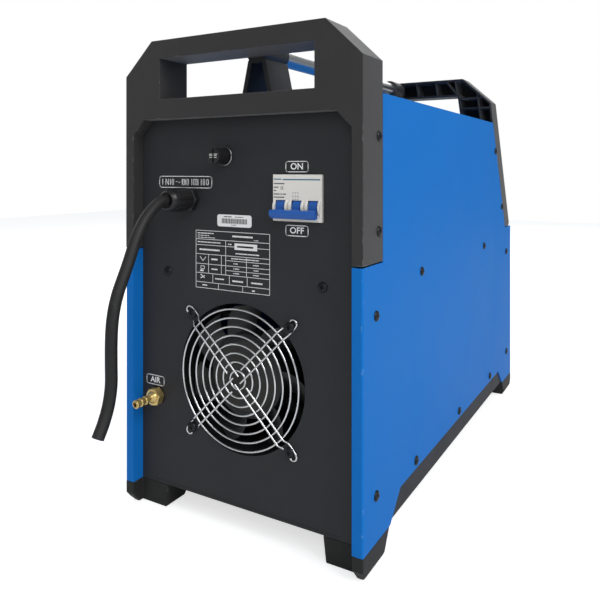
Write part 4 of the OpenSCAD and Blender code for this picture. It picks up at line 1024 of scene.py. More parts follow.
class PlacedCopies(FormTree):
    """Copies of one part, set on points that carry a turn."""

    def __init__(self) -> None:
        """Draws the tree."""
        super().__init__(
            "placed_copies",
            {"Part": "Object", "Size": "Float", "Material": "Material"},
        )
        feeds = {"Name": "turn"}
        turn = self.sketch.add("GeometryNodeInputNamedAttribute", feeds, data_type="FLOAT_VECTOR")
        self.copies(self.given["Geometry"], turn.outputs["Attribute"], Scale=self.given["Size"])

    def spread(self, name: str, part: Workpiece, places: Sequence[Matrix], material: bpy.types.Material,
               size: float = 1.0) -> Thing:
        """Sets copies of a part at places given in millimetres.

        Args:
            name: Name of the piece that they make up.
            part: The part, modelled at the origin.
            places: Frame of each copy.
            material: Finish of all the copies.
            size: Scale of the copies.

        Returns:
            One object with all the copies as a plain mesh.
        """
        bm = bmesh.new()
        for place in places:
            bm.verts.new(place.translation * MM)
        carrier = link_mesh(name, bm)
        turns = carrier.data.attributes.new("turn", "FLOAT_VECTOR", "POINT")
        for index, place in enumerate(places):
            turns.data[index].vector = place.to_euler()
        source = part.plain()
        made = self.grow(carrier, Part=source, Size=size, Material=material)
        bpy.data.objects.remove(source)
        return made


class WireForm(FormTree):
    """Round wire along curves, with evenly spaced rings beside them."""

    def __init__(self) -> None:
        """Draws the tree."""
        super().__init__(
            "wire_form",
            {
                "Rings": "Int", "First Radius": "Float", "Pitch": "Float",
                "Ring Centre": "Vector", "Wire Radius": "Float",
                "Material": "Material",
            },
        )
        s, given = self.sketch, self.given
        points = s.add("GeometryNodePoints", {"Count": given["Rings"], "Position": given["Ring Centre"]})
        ring = s.add("GeometryNodeCurvePrimitiveCircle", {"Resolution": 72, "Radius": 1.0})
        index = s.add("GeometryNodeInputIndex")
        radius = s.math("ADD", s.math("MULTIPLY", index.outputs[0], given["Pitch"]), given["First Radius"])
        rings = s.add("GeometryNodeInstanceOnPoints", {
            "Points": points.outputs[0], "Instance": ring.outputs["Curve"], "Rotation": (math.pi / 2, 0.0, 0.0),
            "Scale": radius,
        })
        real = s.add("GeometryNodeRealizeInstances", {0: rings.outputs[0]})
        lines = s.add("GeometryNodeJoinGeometry", {0: given["Geometry"]})
        s.feed(lines.inputs[0], real.outputs[0])
        section = s.add("GeometryNodeCurvePrimitiveCircle", {"Resolution": 10, "Radius": given["Wire Radius"]})
        wire = s.add("GeometryNodeCurveToMesh", {
            "Curve": lines.outputs[0], "Profile Curve": section.outputs["Curve"], "Fill Caps": True,
        })
        self.close(s.add("GeometryNodeSetShadeSmooth", {"Geometry": wire.outputs[0]}).outputs[0])


class RingOfCopies(FormTree):
    """Copies of one part round a circle in the XY plane, all facing outwards."""

    def __init__(self) -> None:
        """Draws the tree."""
        super().__init__(
            "ring_of_copies",
            {
                "Part": "Object", "Count": "Int", "Start": "Float",
                "Step": "Float", "Material": "Material",
            },
        )
        s = self.sketch
        points = s.add("GeometryNodePoints", {"Count": self.given["Count"]})
        index = s.add("GeometryNodeInputIndex")
        angle = s.math("ADD", s.math("MULTIPLY", index.outputs[0], self.given["Step"]), self.given["Start"])
        self.copies(points.outputs[0], s.add("ShaderNodeCombineXYZ", {"Z": angle}).outputs[0])

    def ring(self, name: str, part: Workpiece, count: int, place: Matrix, material: bpy.types.Material,
             start: float = 0.0, step: float = 0.0) -> Thing:
        """Sets copies of a part round a place.

        Args:
            name: Name of the piece that they make up.
            part: The part, modelled off the axis.
            count: How many copies.
            place: Frame whose Z is the axis, in millimetres.
            material: Finish of the copies.
            start: Angle of the first copy in degrees.
            step: Angle from one to the next, or 0 for an even ring.

        Returns:
            One object with all the copies as a plain mesh.
        """
        source = part.plain()
        bm = bmesh.new()
        bm.verts.new((0, 0, 0))
        made = self.grow(
            link_mesh(name, bm), Part=source, Count=count, Start=math.radians(start),
            Step=math.radians(step or 360.0 / count), Material=material,
        )
        bpy.data.objects.remove(source)
        spot = place.copy()
        spot.translation = place.translation * MM
        made.data.transform(spot)
        return made


class Forms:
    """The Geometry Nodes trees, each drawn once."""

    def __init__(self) -> None:
        """Draws the trees."""
        self.copies = PlacedCopies()
        self.wire = WireForm()
        self.rings = RingOfCopies()


# --- mains cord


@dataclass
class MainsCord:
    """The rubber mains lead that hangs from its gland and ends in a square cut."""

    diameter: float = 11.4
    across: float = 64.7
    jacket: float = 1.7
    core: float = 1.9
    core_spread: float = 1.35
    steps: int = 4
    route: list[tuple[float, float]] = field(
        default_factory=lambda: [
            (323, 336), (332, 334), (342, 328), (351, 320), (358, 311), (364, 301), (369, 290), (374, 279),
            (380, 267), (386, 255), (391, 241), (394, 225), (395, 207), (395, 189), (395, 171), (398, 154),
            (404, 139), (411, 127),
        ]
    )

    def path(self) -> list[Vector]:
        """Returns the smooth centreline through the route's points."""
        knots = [Vector((self.across, y, z)) for y, z in self.route]
        knots = [2 * knots[0] - knots[1], *knots, 2 * knots[-1] - knots[-2]]
        line = []
        for a, b, c, d in zip(knots, knots[1:], knots[2:], knots[3:]):
            for k in range(self.steps):
                t = k / self.steps
                line.append(
                    0.5 * (2 * b + (c - a) * t + (2 * a - 5 * b + 4 * c - d) * t**2
                           + (3 * b - a - 3 * c + d) * t**3)
                )
        return [*line, knots[-2]]

    def build(self, paints: Paints) -> None:
        line = self.path()
        lead = Workpiece("mains_lead", "cord_rubber").sweep(line, self.diameter / 2, 28)
        lead = lead.piece(paints, "cord_rubber", "power_cord", smooth=50)
        cut = self._cut_end(line).piece(paints, "cord_rubber")

    def _cut_end(self, line: list[Vector]) -> Workpiece:
        """Makes the filler and the cut cores in the end of the lead."""
        ahead = (line[-1] - line[-2]).normalized()
        place = Matrix.Translation(line[-1] - ahead * 0.6) @ ahead.to_track_quat("Z", "Y").to_matrix().to_4x4()
        end = Workpiece("mains_lead_end", "gland_nylon")
        end.tube(0, self.diameter / 2 - self.jacket, 0, 0.7, place, 24)
        for index, (x, y) in enumerate(circle_points(self.core * self.core_spread, 4, 20)):
            spot = place @ shift(x, y, 0)
            end.use(("hose_blue", "cord_cores", "fuse_moulding", "toggle_blue")[index])
            end.tube(0, self.core, 0, 0.9, spot, 16)
            end.use("copper_enamel")
            end.tube(0, self.core * 0.6, 0.5, 1.0, spot, 12)
        return end


# --- casing and frames


def longer(least: float) -> EdgeTest:
    """Returns a test that is true for edges longer than this."""
    return lambda edge: edge.calc_length() > least


def dress(paints: Paints, name: str, finish: str, node: str, slot: str, round_by: float, steps: int,
          keep: EdgeTest | None = None) -> None:
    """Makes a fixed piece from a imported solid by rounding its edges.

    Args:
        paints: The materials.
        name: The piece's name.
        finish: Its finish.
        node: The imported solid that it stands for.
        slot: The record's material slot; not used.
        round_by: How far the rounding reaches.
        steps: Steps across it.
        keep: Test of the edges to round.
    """
    Workpiece(name, finish).node(node).bevel(round_by, steps, keep=keep).piece(paints, slot, node)


@dataclass
class SheetShell:
    """The folded sheets: side panels, cover, end panels and tray."""

    bend: float = 2.0
    cut_edge: float = 0.3
    least_edge: float = 1.0
    least_fold: float = 50.0
    near: float = 0.05

    def build(self, paints: Paints) -> None:
        """Makes every sheet of the casing."""
        for side in ("left", "right"):
            skin = Workpiece(f"{side}_side_skin", "blue_powder").node(f"{side}_side_panel")
            skin.bevel(self.bend, 5, keep=self._is_bend).bevel(self.cut_edge, 2, keep=longer(self.least_edge))
            skin.piece(paints, "blue_panel", f"{side}_side_panel")
        for node in ("top_cover", "rear_panel", "front_panel", "base_tray"):
            finish, slot = ("blue_powder", "blue_panel") if node == "top_cover" else ("black_powder", "black_sheet")
            dress(paints, f"{node}_skin", finish, node, slot, self.cut_edge, 2, longer(self.least_edge))

    def _is_bend(self, edge: bmesh.types.BMEdge) -> bool:
        """Tells whether an edge is the outside of a vertical fold at a corner of the casing."""
        a, b = (v.co for v in edge.verts)
        side, end = CASE.half_width - self.near, CASE.half_length - self.near
        return all(abs(p.x) > side and abs(p.y) > end for p in (a, b)) and abs(a.z - b.z) > self.least_fold


@dataclass
class EndFrames:
    """The two moulded frames with their hand windows, the carrying tube and its brackets."""

    rear_round: float = 1.8
    front_round: float = 1.3
    bracket_round: float = 0.7
    bracket_edge: float = 1.2
    tube_round: float = 0.3
    frame_top: float = 505.0
    chamfer_w: float = 37.5
    chamfer_h: float = 36.0
    front_depth: float = 33.0
    gap: float = 0.3
    least_edge: float = 2.0
    near: float = 0.06
    near_share: float = 0.004

    def build(self, paints: Paints) -> None:
        """Makes the frames, the brackets and the tube."""
        shapes = (("rear", self.rear_round, longer(self.least_edge)), ("front", self.front_round, self._is_outer))
        for end, round_by, keep in shapes:
            dress(paints, f"{end}_carry_frame", "frame_moulding", f"{end}_frame", "frame_plastic", round_by, 3, keep)
        for end in ("rear", "front"):
            dress(paints, f"{end}_tube_holder", "bracket_moulding", f"{end}_tube_bracket", "bracket_black",
                  self.bracket_round, 2, longer(self.bracket_edge))
        dress(paints, "carrying_tube", "satin_tube", "carry_tube", "satin_tube", self.tube_round, 1)

    def _is_outer(self, edge: bmesh.types.BMEdge) -> bool:
        """Tells whether an edge is on the outside of the front frame and not in its hollow back."""
        return edge.calc_length() >= self.least_edge and all(self._on_skin(v.co) for v in edge.verts)

    def _on_skin(self, p: Vector) -> bool:
        """Tells whether a point is on the frame's sides, top, chamfers or front face."""
        front = CASE.front_edge(p.z) - self.gap - self.front_depth
        chamfer = (CASE.half_width - abs(p.x)) / self.chamfer_w + (self.frame_top - p.z) / self.chamfer_h
        side, top = CASE.half_width - self.near, self.frame_top - self.near
        slanted = abs(chamfer - 1) < self.near_share
        return abs(p.x) > side or p.z > top or slanted or abs(p.y - front) < self.near


@dataclass
class Feet:
    """The four moulded corner feet."""

    round_by: float = 1.4
    least_edge: float = 3.0

    def build(self, paints: Paints) -> None:
        """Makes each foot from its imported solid, rounded."""
        for end in ("rear", "front"):
            for side in ("left", "right"):
                dress(paints, f"{end}_{side}_corner_foot", "foot_rubber", f"{end}_{side}_foot", "foot_plastic",
                      self.round_by, 3, longer(self.least_edge))


@dataclass
class CasingScrews:
    """The pan-head screws with a cross recess that hold the sheets and frames."""

    head_d: float = 10.0
    head_h: float = 2.2
    shank_d: float = 4.0
    shank_l: float = 6.5
    recess: float = 5.2
    turn_step: float = 37.0
    shelf_row: float = 257.0
    shelf_xs: tuple[float, float] = (-95.0, 95.0)
    front_rows: tuple[float, float] = (308.0, 396.0)
    front_in: float = 7.0
    blade_half: float = 0.55
    side_rows: list[tuple[float, float]] = field(
        default_factory=lambda: [
            (271, 233), (271, 68.3), (165, 58.8), (5, 58.8), (-155, 58.8), (147, 257), (-121, 257),
            (-266, 233), (-266, 68.3), (265, 310), (265, 398),
        ]
    )

    def build(self, paints: Paints, forms: Forms) -> None:
        """Makes the casing's screws and the shelf's screws in the rear panel."""
        places = []
        front = [(CASE.front_edge(z) + self.front_in, z) for z in self.front_rows]
        for index, (y, z) in enumerate(self.side_rows + front):
            for facing, x in ((Facing.RIGHT, -CASE.half_width), (Facing.LEFT, CASE.half_width)):
                places.append(facing.at(x, y, z) @ spin(index * self.turn_step))
        made = forms.copies.spread("casing_screw_set", self.screw(), places, paints["black_zinc"])
        hand_over(made, "screw_black", "casing_screws")
        shelf = [on_rear(x, self.shelf_row) @ spin(x) for x in self.shelf_xs]
        made = forms.copies.spread("rear_panel_screw_set", self.screw(), shelf, paints["black_zinc"])
        hand_over(made, "screw_black", "panel_screws")

    def screw(self) -> Workpiece:
        """Returns one screw, its head on the XY plane."""
        r, h = self.head_d / 2, self.head_h
        head = Workpiece("pan_head_screw")
        head.lathe([
            (0, h), (r * 0.30, h * 0.995), (r * 0.58, h * 0.93), (r * 0.80, h * 0.76), (r * 0.94, h * 0.48),
            (r, h * 0.18), (r * 0.98, 0), (self.shank_d / 2, 0), (self.shank_d / 2, -self.shank_l),
            (0, -self.shank_l - 1.2),
        ], sides=28)
        return head.cut(*self.cross(h))

    def cross(self, top: float) -> list[Workpiece]:
        """Returns the two tapered blades that sink the cross recess."""
        blades = []
        for turn in (0, 90):
            half, thin = self.recess / 2, self.blade_half
            outline = [(-half, 1.0), (-half * 0.45, -1.5), (half * 0.45, -1.5), (half, 1.0)]
            upright = shift(0, 0, top) @ spin(turn) @ spin(90, "X")
            blades.append(Workpiece("recess_blade").prism(outline, -thin, thin, upright))
        return blades


# --- fan


@dataclass
class Fan:
    """The fan behind the rear panel, its rotor and its bright wire guard."""

    height: float = 155.5
    screw_pitch: float = 60.0
    screw_size: float = 1.08
    screw_seat: float = 2.2
    ring_round: float = 0.6
    ring_edge: float = 1.5
    hub_r: float = 44.0
    hub_face_y: float = 275.5
    hub_back_y: float = 257.5
    blade_tip_r: float = 71.5
    blades: int = 7
    root_in: float = 1.5
    chord: float = 30.0
    chord_gain: float = 5.0
    pitch: float = 37.0
    twist: float = 12.0
    swept: float = 14.0
    camber: float = 1.6
    edge_t: float = 0.25
    rings: int = 8
    first_ring: float = 9.2
    ring_pitch: float = 8.83
    wire_r: float = 1.0
    leg_half: float = 4.5
    leg_starts: tuple[float, float] = (1.5, 12.0)
    hook_sides: tuple[int, int, int, int] = (1, 1, -1, 1)
    hook_r: float = 3.9
    ring_y: float = 288.2
    leg_y: float = 290.2
    foot_y: float = 286.2

    def build(self, paints: Paints, forms: Forms, screws: CasingScrews) -> None:
        """Makes the whole fan."""
        dress(paints, "fan_housing", "fan_moulding", "fan_ring", "fan_plastic", self.ring_round, 2,
              longer(self.ring_edge))
        self._rotor(paints, forms)
        self._guard(paints, forms)
        head = screws.screw()
        reach = self.screw_pitch
        places = [
            Facing.REAR.at(x, CASE.panel_y + self.screw_seat, self.height + z) @ spin(20 + x + z / 2)
            for x in (-reach, reach) for z in (-reach, reach)
        ]
        made = forms.copies.spread("fan_screw_set", head, places, paints["black_zinc"], self.screw_size)
        hand_over(made, "screw_black", "fan_screws")

    def _rotor(self, paints: Paints, forms: Forms) -> None:
        """Makes the hub and the swept, twisted blades."""
        depth = self.hub_face_y - self.hub_back_y
        face = Facing.REAR.at(0, self.hub_face_y, self.height)
        hub = Workpiece("fan_hub", "fan_moulding")
        hub.lathe([
            (0, -0.6), (self.hub_r - 7, -0.6), (self.hub_r - 6.4, 0), (self.hub_r - 3, -0.3), (self.hub_r - 1, -1.4),
            (self.hub_r, -3.2), (self.hub_r, -depth), (0, -depth),
        ], face, 64)
        hub.use("hub_label").tube(0, self.hub_r - 8, -0.5, -0.7, face, 48)
        hub.piece(paints, "fan_plastic", "fan_rotor", body=Body.FAN)
        middle = Facing.REAR.at(0, (self.hub_face_y + self.hub_back_y) / 2, self.height)
        made = forms.rings.ring("fan_blade_set", self._blade(), self.blades, middle, paints["fan_moulding"])
        hand_over(made, "fan_plastic", body=Body.FAN)

    def _blade(self) -> Workpiece:
        """Returns one blade, turning about Z, thick in the middle and thin at its edges."""
        blade = Workpiece("fan_blade")
        rows, columns = 9, 11
        skins = []
        for side in (1, -1):
            skin = []
            for i in range(rows):
                s = i / (rows - 1)
                radius = self.hub_r - self.root_in + s * (self.blade_tip_r - self.hub_r + self.root_in)
                chord = self.chord + self.chord_gain * s
                tilt = math.radians(self.pitch - self.twist * s)
                row = []
                for j in range(columns):
                    t = j / (columns - 1) - 0.5
                    along = chord * t
                    full = 1 - 4 * t * t
                    thick = side * (self.edge_t + full)
                    angle = math.radians(-self.swept * s * s) + along * math.cos(tilt) / radius
                    lift = along * math.sin(tilt) + self.camber * full + thick
                    row.append(blade.bm.verts.new((*polar(radius, angle), lift)))
                skin.append(row)
            skins.append(skin)
        for skin in skins:
            for a, b in zip(skin, skin[1:]):
                for j in range(columns - 1):
                    blade.bm.faces.new((a[j], a[j + 1], b[j + 1], b[j]))
        rims = [
            skin[0] + [row[-1] for row in skin[1:]] + skin[-1][-2::-1] + [row[0] for row in skin[-2:0:-1]]
            for skin in skins
        ]
        band(blade.bm, *rims, len(rims[0]))
        bmesh.ops.recalc_face_normals(blade.bm, faces=blade.bm.faces)
        return blade

    def _guard(self, paints: Paints, forms: Forms) -> None:
        """Makes the guard's rings and its four hairpin legs as one wire form."""
        legs = bpy.data.curves.new("fan_wire_guard", "CURVE")
        legs.dimensions = "3D"
        for quarter, hook_side in enumerate(self.hook_sides):
            for wire in self._leg(45 + 90 * quarter, hook_side):
                spline = legs.splines.new("POLY")
                spline.points.add(len(wire) - 1)
                for spot, point in zip(spline.points, wire):
                    spot.co = (*(point * MM), 1.0)
        carrier = bpy.data.objects.new("fan_wire_guard", legs)
        bpy.context.scene.collection.objects.link(carrier)
        made = forms.wire.grow(
            carrier, Rings=self.rings, First_Radius=self.first_ring * MM, Pitch=self.ring_pitch * MM,
            Ring_Centre=(0.0, self.ring_y * MM, self.height * MM), Wire_Radius=self.wire_r * MM,
            Material=paints["bright_wire"],
        )
        hand_over(made, "guard_chrome", "fan_guard")

    def _leg(self, degrees: float, hook_side: int) -> list[list[Vector]]:
        """Returns the two wires of one leg: one ends at its screw and the other hooks round it.

        Args:
            degrees: Direction of the leg.
            hook_side: Side of the wire that ends in the hook, 1 or -1.

        Returns:
            The points of both wires.
        """
        reach = self.screw_pitch * math.sqrt(2)
        turn = math.radians(degrees)
        wires = []
        for side, start in zip((1, -1), self.leg_starts):
            bends = [(start, self.leg_y), (reach - 12.6, self.leg_y), (reach - 11.4, self.leg_y - 0.4),
                     (reach - 7.8, self.foot_y + 0.4), (reach - 6.4, self.foot_y)]
            path = [(r, side * self.leg_half, y) for r, y in bends]
            if side == hook_side:
                middle, bend = reach + 5.2, self.hook_r
                path += [(reach + k * 1.3, side * (self.leg_half + (bend - self.leg_half) * k / 4), self.foot_y)
                         for k in range(4)]
                for a in range(0, 226, 18):
                    across, along = polar(bend, math.radians(a))
                    path.append((middle + along, side * across, self.foot_y))
            wires.append([
                Vector((r * math.cos(turn) - v * math.sin(turn), y,
                        self.height + r * math.sin(turn) + v * math.cos(turn)))
                for r, v, y in path
            ])
        return wires


# --- breaker, fuse, gland


@dataclass
class Breaker:
    """The three-pole breaker and its tied toggles."""

    x: float = -68.5
    z: float = 340.0
    face_y: float = 288.0
    pivot_drop: float = 9.0
    pivot_in: float = 7.0
    poles: int = 3
    pole_w: float = 18.0
    nose_h: float = 45.0
    body_h: float = 85.0
    body_back: float = 221.5
    nose_back: float = 21.0
    step_back: float = 4.7
    corner: float = 0.8
    ink: float = 0.08
    slot_w: float = 11.0
    slot_h: float = 13.6
    collar_t: float = 2.4
    collar_r: float = 10.2
    drum_r: float = 8.6
    drum_gap: float = 0.6
    lip: float = 1.0
    rest_tilt: float = 23.5
    toggle_w: float = 9.0

    def build(self, paints: Paints) -> None:
        """Makes the breaker."""
        self._housing().piece(paints, "breaker_white", "breaker_body")
        self._toggles().piece(paints, "toggle_blue", "breaker_toggles", body=Body.TOGGLES)
        self._prints().piece(paints, "breaker_white")

    def _pole_xs(self) -> list[float]:
        """Returns the middle of each pole across the breaker."""
        return [(i - (self.poles - 1) / 2) * self.pole_w for i in range(self.poles)]

    def _housing(self) -> Workpiece:
        """Makes the housing, its smooth nose, the toggle slots and the collars beside them."""
        face = Facing.REAR.at(self.x, self.face_y, self.z)
        drop, deep = self.pivot_drop, self.pivot_in
        half, h = self.pole_w * self.poles / 2, self.nose_h / 2
        nose = Workpiece("breaker_nose", "breaker_white").box((-half, -h, -self.nose_back), (half, h, 0), face, 0.6)
        slots = []
        for middle in self._pole_xs():
            low, high, reach = middle - self.slot_w / 2, middle + self.slot_w / 2, self.drum_r + self.drum_gap
            slots.append(Workpiece("slot_mouth").box(
                (low, -drop - self.slot_h / 2, -deep), (high, -drop + self.slot_h / 2, 2), face))
            slots.append(Workpiece("drum_well").box(
                (low, -drop - reach, -deep - reach), (high, -drop + reach, -self.lip), face))
        nose.cut(*slots)
        shell = Workpiece("breaker_housing", "breaker_white").join(nose)
        tall, back = self.body_h / 2, self.body_back - self.face_y
        shell.box((-half, -tall, back), (half, tall, 0.5 - self.nose_back), face, self.corner)
        for low_z, high_z in ((-tall, -h - 0.5), (h + 0.5, tall)):
            shell.box((-half, low_z, -self.nose_back), (half, high_z, -self.step_back), face, self.corner)
        for middle in self._pole_xs():
            for side in (-1, 1):
                low = middle + side * (self.slot_w / 2 + self.collar_t / 2) - self.collar_t / 2
                side_on = face @ shift(low, -drop, -deep) @ spin(90, "Y")
                r, t = self.collar_r, self.collar_t
                shell.lathe([(0, 0), (r - 0.5, 0), (r, 0.5), (r, t - 0.5), (r - 0.5, t), (0, t)], side_on, 72)
        return shell

    def _toggles(self) -> Workpiece:
        """Makes the drums, their stems and the bar that ties them."""
        pivot = Facing.REAR.at(self.x, self.face_y - self.pivot_in, self.z - self.pivot_drop)
        lever = pivot @ spin(self.rest_tilt, "X")
        work = Workpiece("breaker_toggle_set", "toggle_blue")
        w = self.toggle_w / 2
        stem = [(2.0, 2.3), (14.5, 2.5), (15.5, 2.0), (15.5, -2.0), (14.5, -2.5), (2.0, -2.3)]
        for middle in self._pole_xs():
            side = lever @ shift(middle, 0, 0) @ side_turn()
            work.prism(circle_points(self.drum_r, 64), -w, w, side, 0.3)
            work.prism(stem, -w, w, side, 0.35)
        half = self.pole_w * self.poles / 2 - 2
        bar = [(13.4, 2.8), (14.8, 4.2), (17.2, 4.0), (18.8, 2.2), (18.8, -2.8), (17.4, -4.2), (14.4, -4.2),
               (13.4, -3.2)]
        body = Workpiece("tie_bar", "toggle_blue").prism(bar, -half, half, lever @ side_turn(), 0.6)
        clips = [
            Workpiece("end_clip").box(
                (side * half - 3, -3, -3), (side * half + 3, 3, 3),
                lever @ shift(side * 1.6, 0, 0) @ self._clip_turn(side, half))
            for side in (-1, 1)
        ]
        return work.join(body.cut(*clips))

    @staticmethod
    def _clip_turn(side: int, half: float) -> Matrix:
        """Returns the place of the block that cuts a slant on one end of the tie bar."""
        corner = shift(side * half, -4.6, 19.2)
        return corner @ spin(45, "Y") @ shift(-side * half, 0, 0)

    def _prints(self) -> Workpiece:
        """Makes the coloured stripe and the plain marks on the nose."""
        face = Facing.REAR.at(self.x, self.face_y, self.z)
        top = self.nose_h / 2
        marks = Workpiece("breaker_marks", "breaker_stripe")
        marks.stroke([(-15.0, top - 4.9), (25.0, top - 4.9)], 1.15, face, self.ink)
        marks.stroke([(-25.2, top - 4.6), (-17.5, top - 4.6)], 1.0, face, self.ink)
        marks.use("breaker_print")
        for x, drop, long in ((-25.2, 8.9, 5.0), (-19.2, 8.9, 5.0), (-25.2, 12.4, 4.2), (-25.2, 15.6, 1.6),
                              (-25.2, 19.0, 5.6), (-17.8, 19.0, 1.4), (-14.8, 19.0, 2.6), (-25.2, 22.0, 3.4),
                              (-20.8, 22.0, 6.6)):
            marks.stroke([(x, top - drop), (x + long, top - drop)], 0.95, face, self.ink)
        marks.stroke([(-17.6, top - 12.0), (-15.6, top - 12.0), (-15.6, top - 14.2), (-17.6, top - 14.2)], 0.5, face,
                     self.ink, closed=True)
        for column in range(3):
            for row, long in enumerate((1.2, 2.0, 1.2)):
                x, y = -4.6 + column * 2.7, top - 17.2 - row * 3.1
                marks.stroke([(x, y), (x + 0.9, y - long * 0.6)], 0.5, face, self.ink)
        return marks


def side_turn() -> Matrix:
    """Returns the turn that lays an outline's X along local Z and its height along local -X."""
    return Matrix(((0, 0, -1, 0), (0, 1, 0, 0), (1, 0, 0, 0), (0, 0, 0, 1)))


@dataclass
class FuseUnit:
    """The panel fuse holder, its bayonet cap and the fuse link inside."""

    x: float = 18.5
    z: float = 381.0
    flange_r: float = 10.25
    flange_t: float = 2.5
    cap_r: float = 7.85
    out: float = 20.0
    gap: float = 0.3
    stem_l: float = 10.0
    bore_r: float = 4.0
    link_l: float = 25.0
    link_r: float = 3.15
    link_cap_l: float = 5.5

    def build(self, paints: Paints) -> None:
        """Makes the holder, the cap and the link."""
        face = on_rear(self.x, self.z)
        stem_end = self.flange_t + self.gap - self.stem_l
        back = -self.stem_l - self.link_l - 4
        rim, thick, r, bore = self.flange_r, self.flange_t, self.cap_r, self.bore_r
        well = stem_end - self.link_l - 1
        holder = Workpiece("fuse_holder_body", "fuse_moulding").lathe([
            (0, back), (r, back), (r, -1.6), (rim - 0.7, -1.6), (rim - 0.7, 0), (rim, 0), (rim, thick - 1.0),
            (rim - 0.9, thick), (r + 0.5, thick), (r + 0.2, thick - 0.4), (bore, thick - 0.4), (bore, well),
            (0, well),
        ], face, 56)
        # The light ring on the flange's rounded edge is a painted highlight.
        holder.use("fuse_rim").lathe([
            (rim - 0.95, thick - 0.1), (rim - 0.35, thick - 0.75), (rim - 0.15, thick - 0.6),
            (rim - 0.8, thick + 0.12),
        ], face, 56)
        holder.piece(paints, "fuse_plastic", "fuse_holder")
        self._cap(face, stem_end).piece(paints, "fuse_plastic", "fuse_cap", body=Body.FUSE)
        link = Workpiece("fuse_link_glass", "fuse_glass")
        tube = self.link_r - 0.2
        far = stem_end - self.link_l
        link.tube(0, tube, far + 1, stem_end - 1, face, 24)
        link.use("plated_cap")
        for low in (far, stem_end - self.link_cap_l):
            high = low + self.link_cap_l
            link.tube(0, self.link_r, low, high, face, 24)
        link.piece(paints, "fuse_metal", "fuse_link", body=Body.FUSE)

    def _cap(self, face: Matrix, stem_end: float) -> Workpiece:
        """Makes the cap with its screwdriver slot and light mark."""
        low, out, r, stem_r = self.flange_t + self.gap, self.out, self.cap_r, self.bore_r - 0.25
        cap = Workpiece("fuse_bayonet_cap", "fuse_moulding")
        cap.lathe([
            (0, stem_end), (stem_r, stem_end), (stem_r, low), (r - 0.4, low), (r, low + 0.5), (r, out - 1.1),
            (r - 0.35, out - 0.35), (r - 1.2, out), (0, out),
        ], face, 56)
        slot = Workpiece("slot_blade").box((-1, -r - 1, out - 1.5), (1, r + 1, out + 1), face)
        cap.cut(slot)
        cap.use("fuse_mark")
        top = face @ shift(0, 0, out)
        for x, y, long in ((-4.4, 1.6, 3.0), (-4.4, 0.2, 3.4), (1.6, 1.6, 3.2), (1.6, 0.2, 2.6), (-3.8, -1.6, 2.4),
                           (1.6, -1.6, 2.8)):
            cap.stroke([(x, y), (x + long, y)], 0.8, top, 0.06)
        return cap


@dataclass
class CableGland:
    """The nylon cable gland where the mains cord goes in."""

    x: float = 64.7
    z: float = 336.0
    hex_r: float = 13.5
    hex_h: float = 7.0
    out: float = 38.0
    thread_r: float = 10.0
    cord_r: float = 5.7

    def build(self, paints: Paints) -> None:
        """Makes the gland."""
        face = on_rear(self.x, self.z)
        r, h, out, cord = self.hex_r, self.hex_h, self.out, self.cord_r
        gland = Workpiece("cable_gland_body", "gland_nylon")
        gland.hexagon(r, 0, h, face)
        gland.lathe([
            (0, -13), (self.thread_r, -13), (self.thread_r, 0), (r * 0.82, 0), (r * 0.82, h + 2.6),
            (r * 0.89, h + 2.8), (0, h + 2.8),
        ], face, 56)
        gland.prism(fluted(r * 0.93, 0.55, 12, 3, 180), h + 2.6, out - 7.5, face, 0.7)
        gland.lathe([
            (0, out - 8), (r - 1.6, out - 8), (r - 1.8, out - 5.6), (r - 2.7, out - 3.2), (cord + 3.6, out - 1.2),
            (cord + 2.8, out - 0.7), (cord + 2.2, out - 1.0), (cord + 0.9, out - 2.6), (cord + 0.2, out - 2.6),
            (0, out - 2.8),
        ], face, 56)
        gland.piece(paints, "gland_plastic", "cable_gland", smooth=30)


@dataclass
class AirInlet:
    """The brass hose tail for compressed air."""

    x: float = 110.0
    z: float = 120.0
    hex_r: float = 10.0
    hex_h: float = 9.0
    out: float = 35.0
    barb_r: float = 4.6
    root_r: float = 3.2
    bore_r: float = 2.5
    bore_depth: float = 14.0
    hex_turn: float = 12.0
    crests: tuple[float, float, float] = (19.0, 25.6, 32.2)

    def build(self, paints: Paints) -> None:
        """Makes the inlet with its washer, whose dark zinc colour is painted shade at the foot of the nut."""
        face = on_rear(self.x, self.z)
        inlet = Workpiece("air_hose_tail", "turned_brass")
        inlet.hexagon(self.hex_r, 0.8, self.hex_h, face @ spin(self.hex_turn))
        flat, root, tip, bore, out = self.hex_h, self.root_r, self.barb_r, self.bore_r, self.out
        profile = [(0, -13), (7.0, -13), (7.0, 0.4), (7.6, flat - 0.2), (6.6, flat), (6.2, flat + 0.9),
                   (4.3, flat + 3.4), (root, flat + 4.2)]
        for crest in self.crests:
            profile += [(root, crest - 1.7), (tip, crest - 1.2), (tip - 0.1, crest + 1.2), (root, crest + 2.1)]
        profile += [(root, out - 0.3), (root - 0.2, out), (bore + 0.2, out), (bore, out - 0.3),
                    (bore, out - self.bore_depth), (0, out - self.bore_depth - 1)]
        inlet.lathe(profile, face, 48)
        # Dark washer under the nut: its colour is painted shade where the nut meets the panel.
        inlet.use("black_zinc").tube(6.9, self.hex_r, 0, 0.8, face, 48)
        inlet.piece(paints, "brass", "air_inlet", smooth=28)


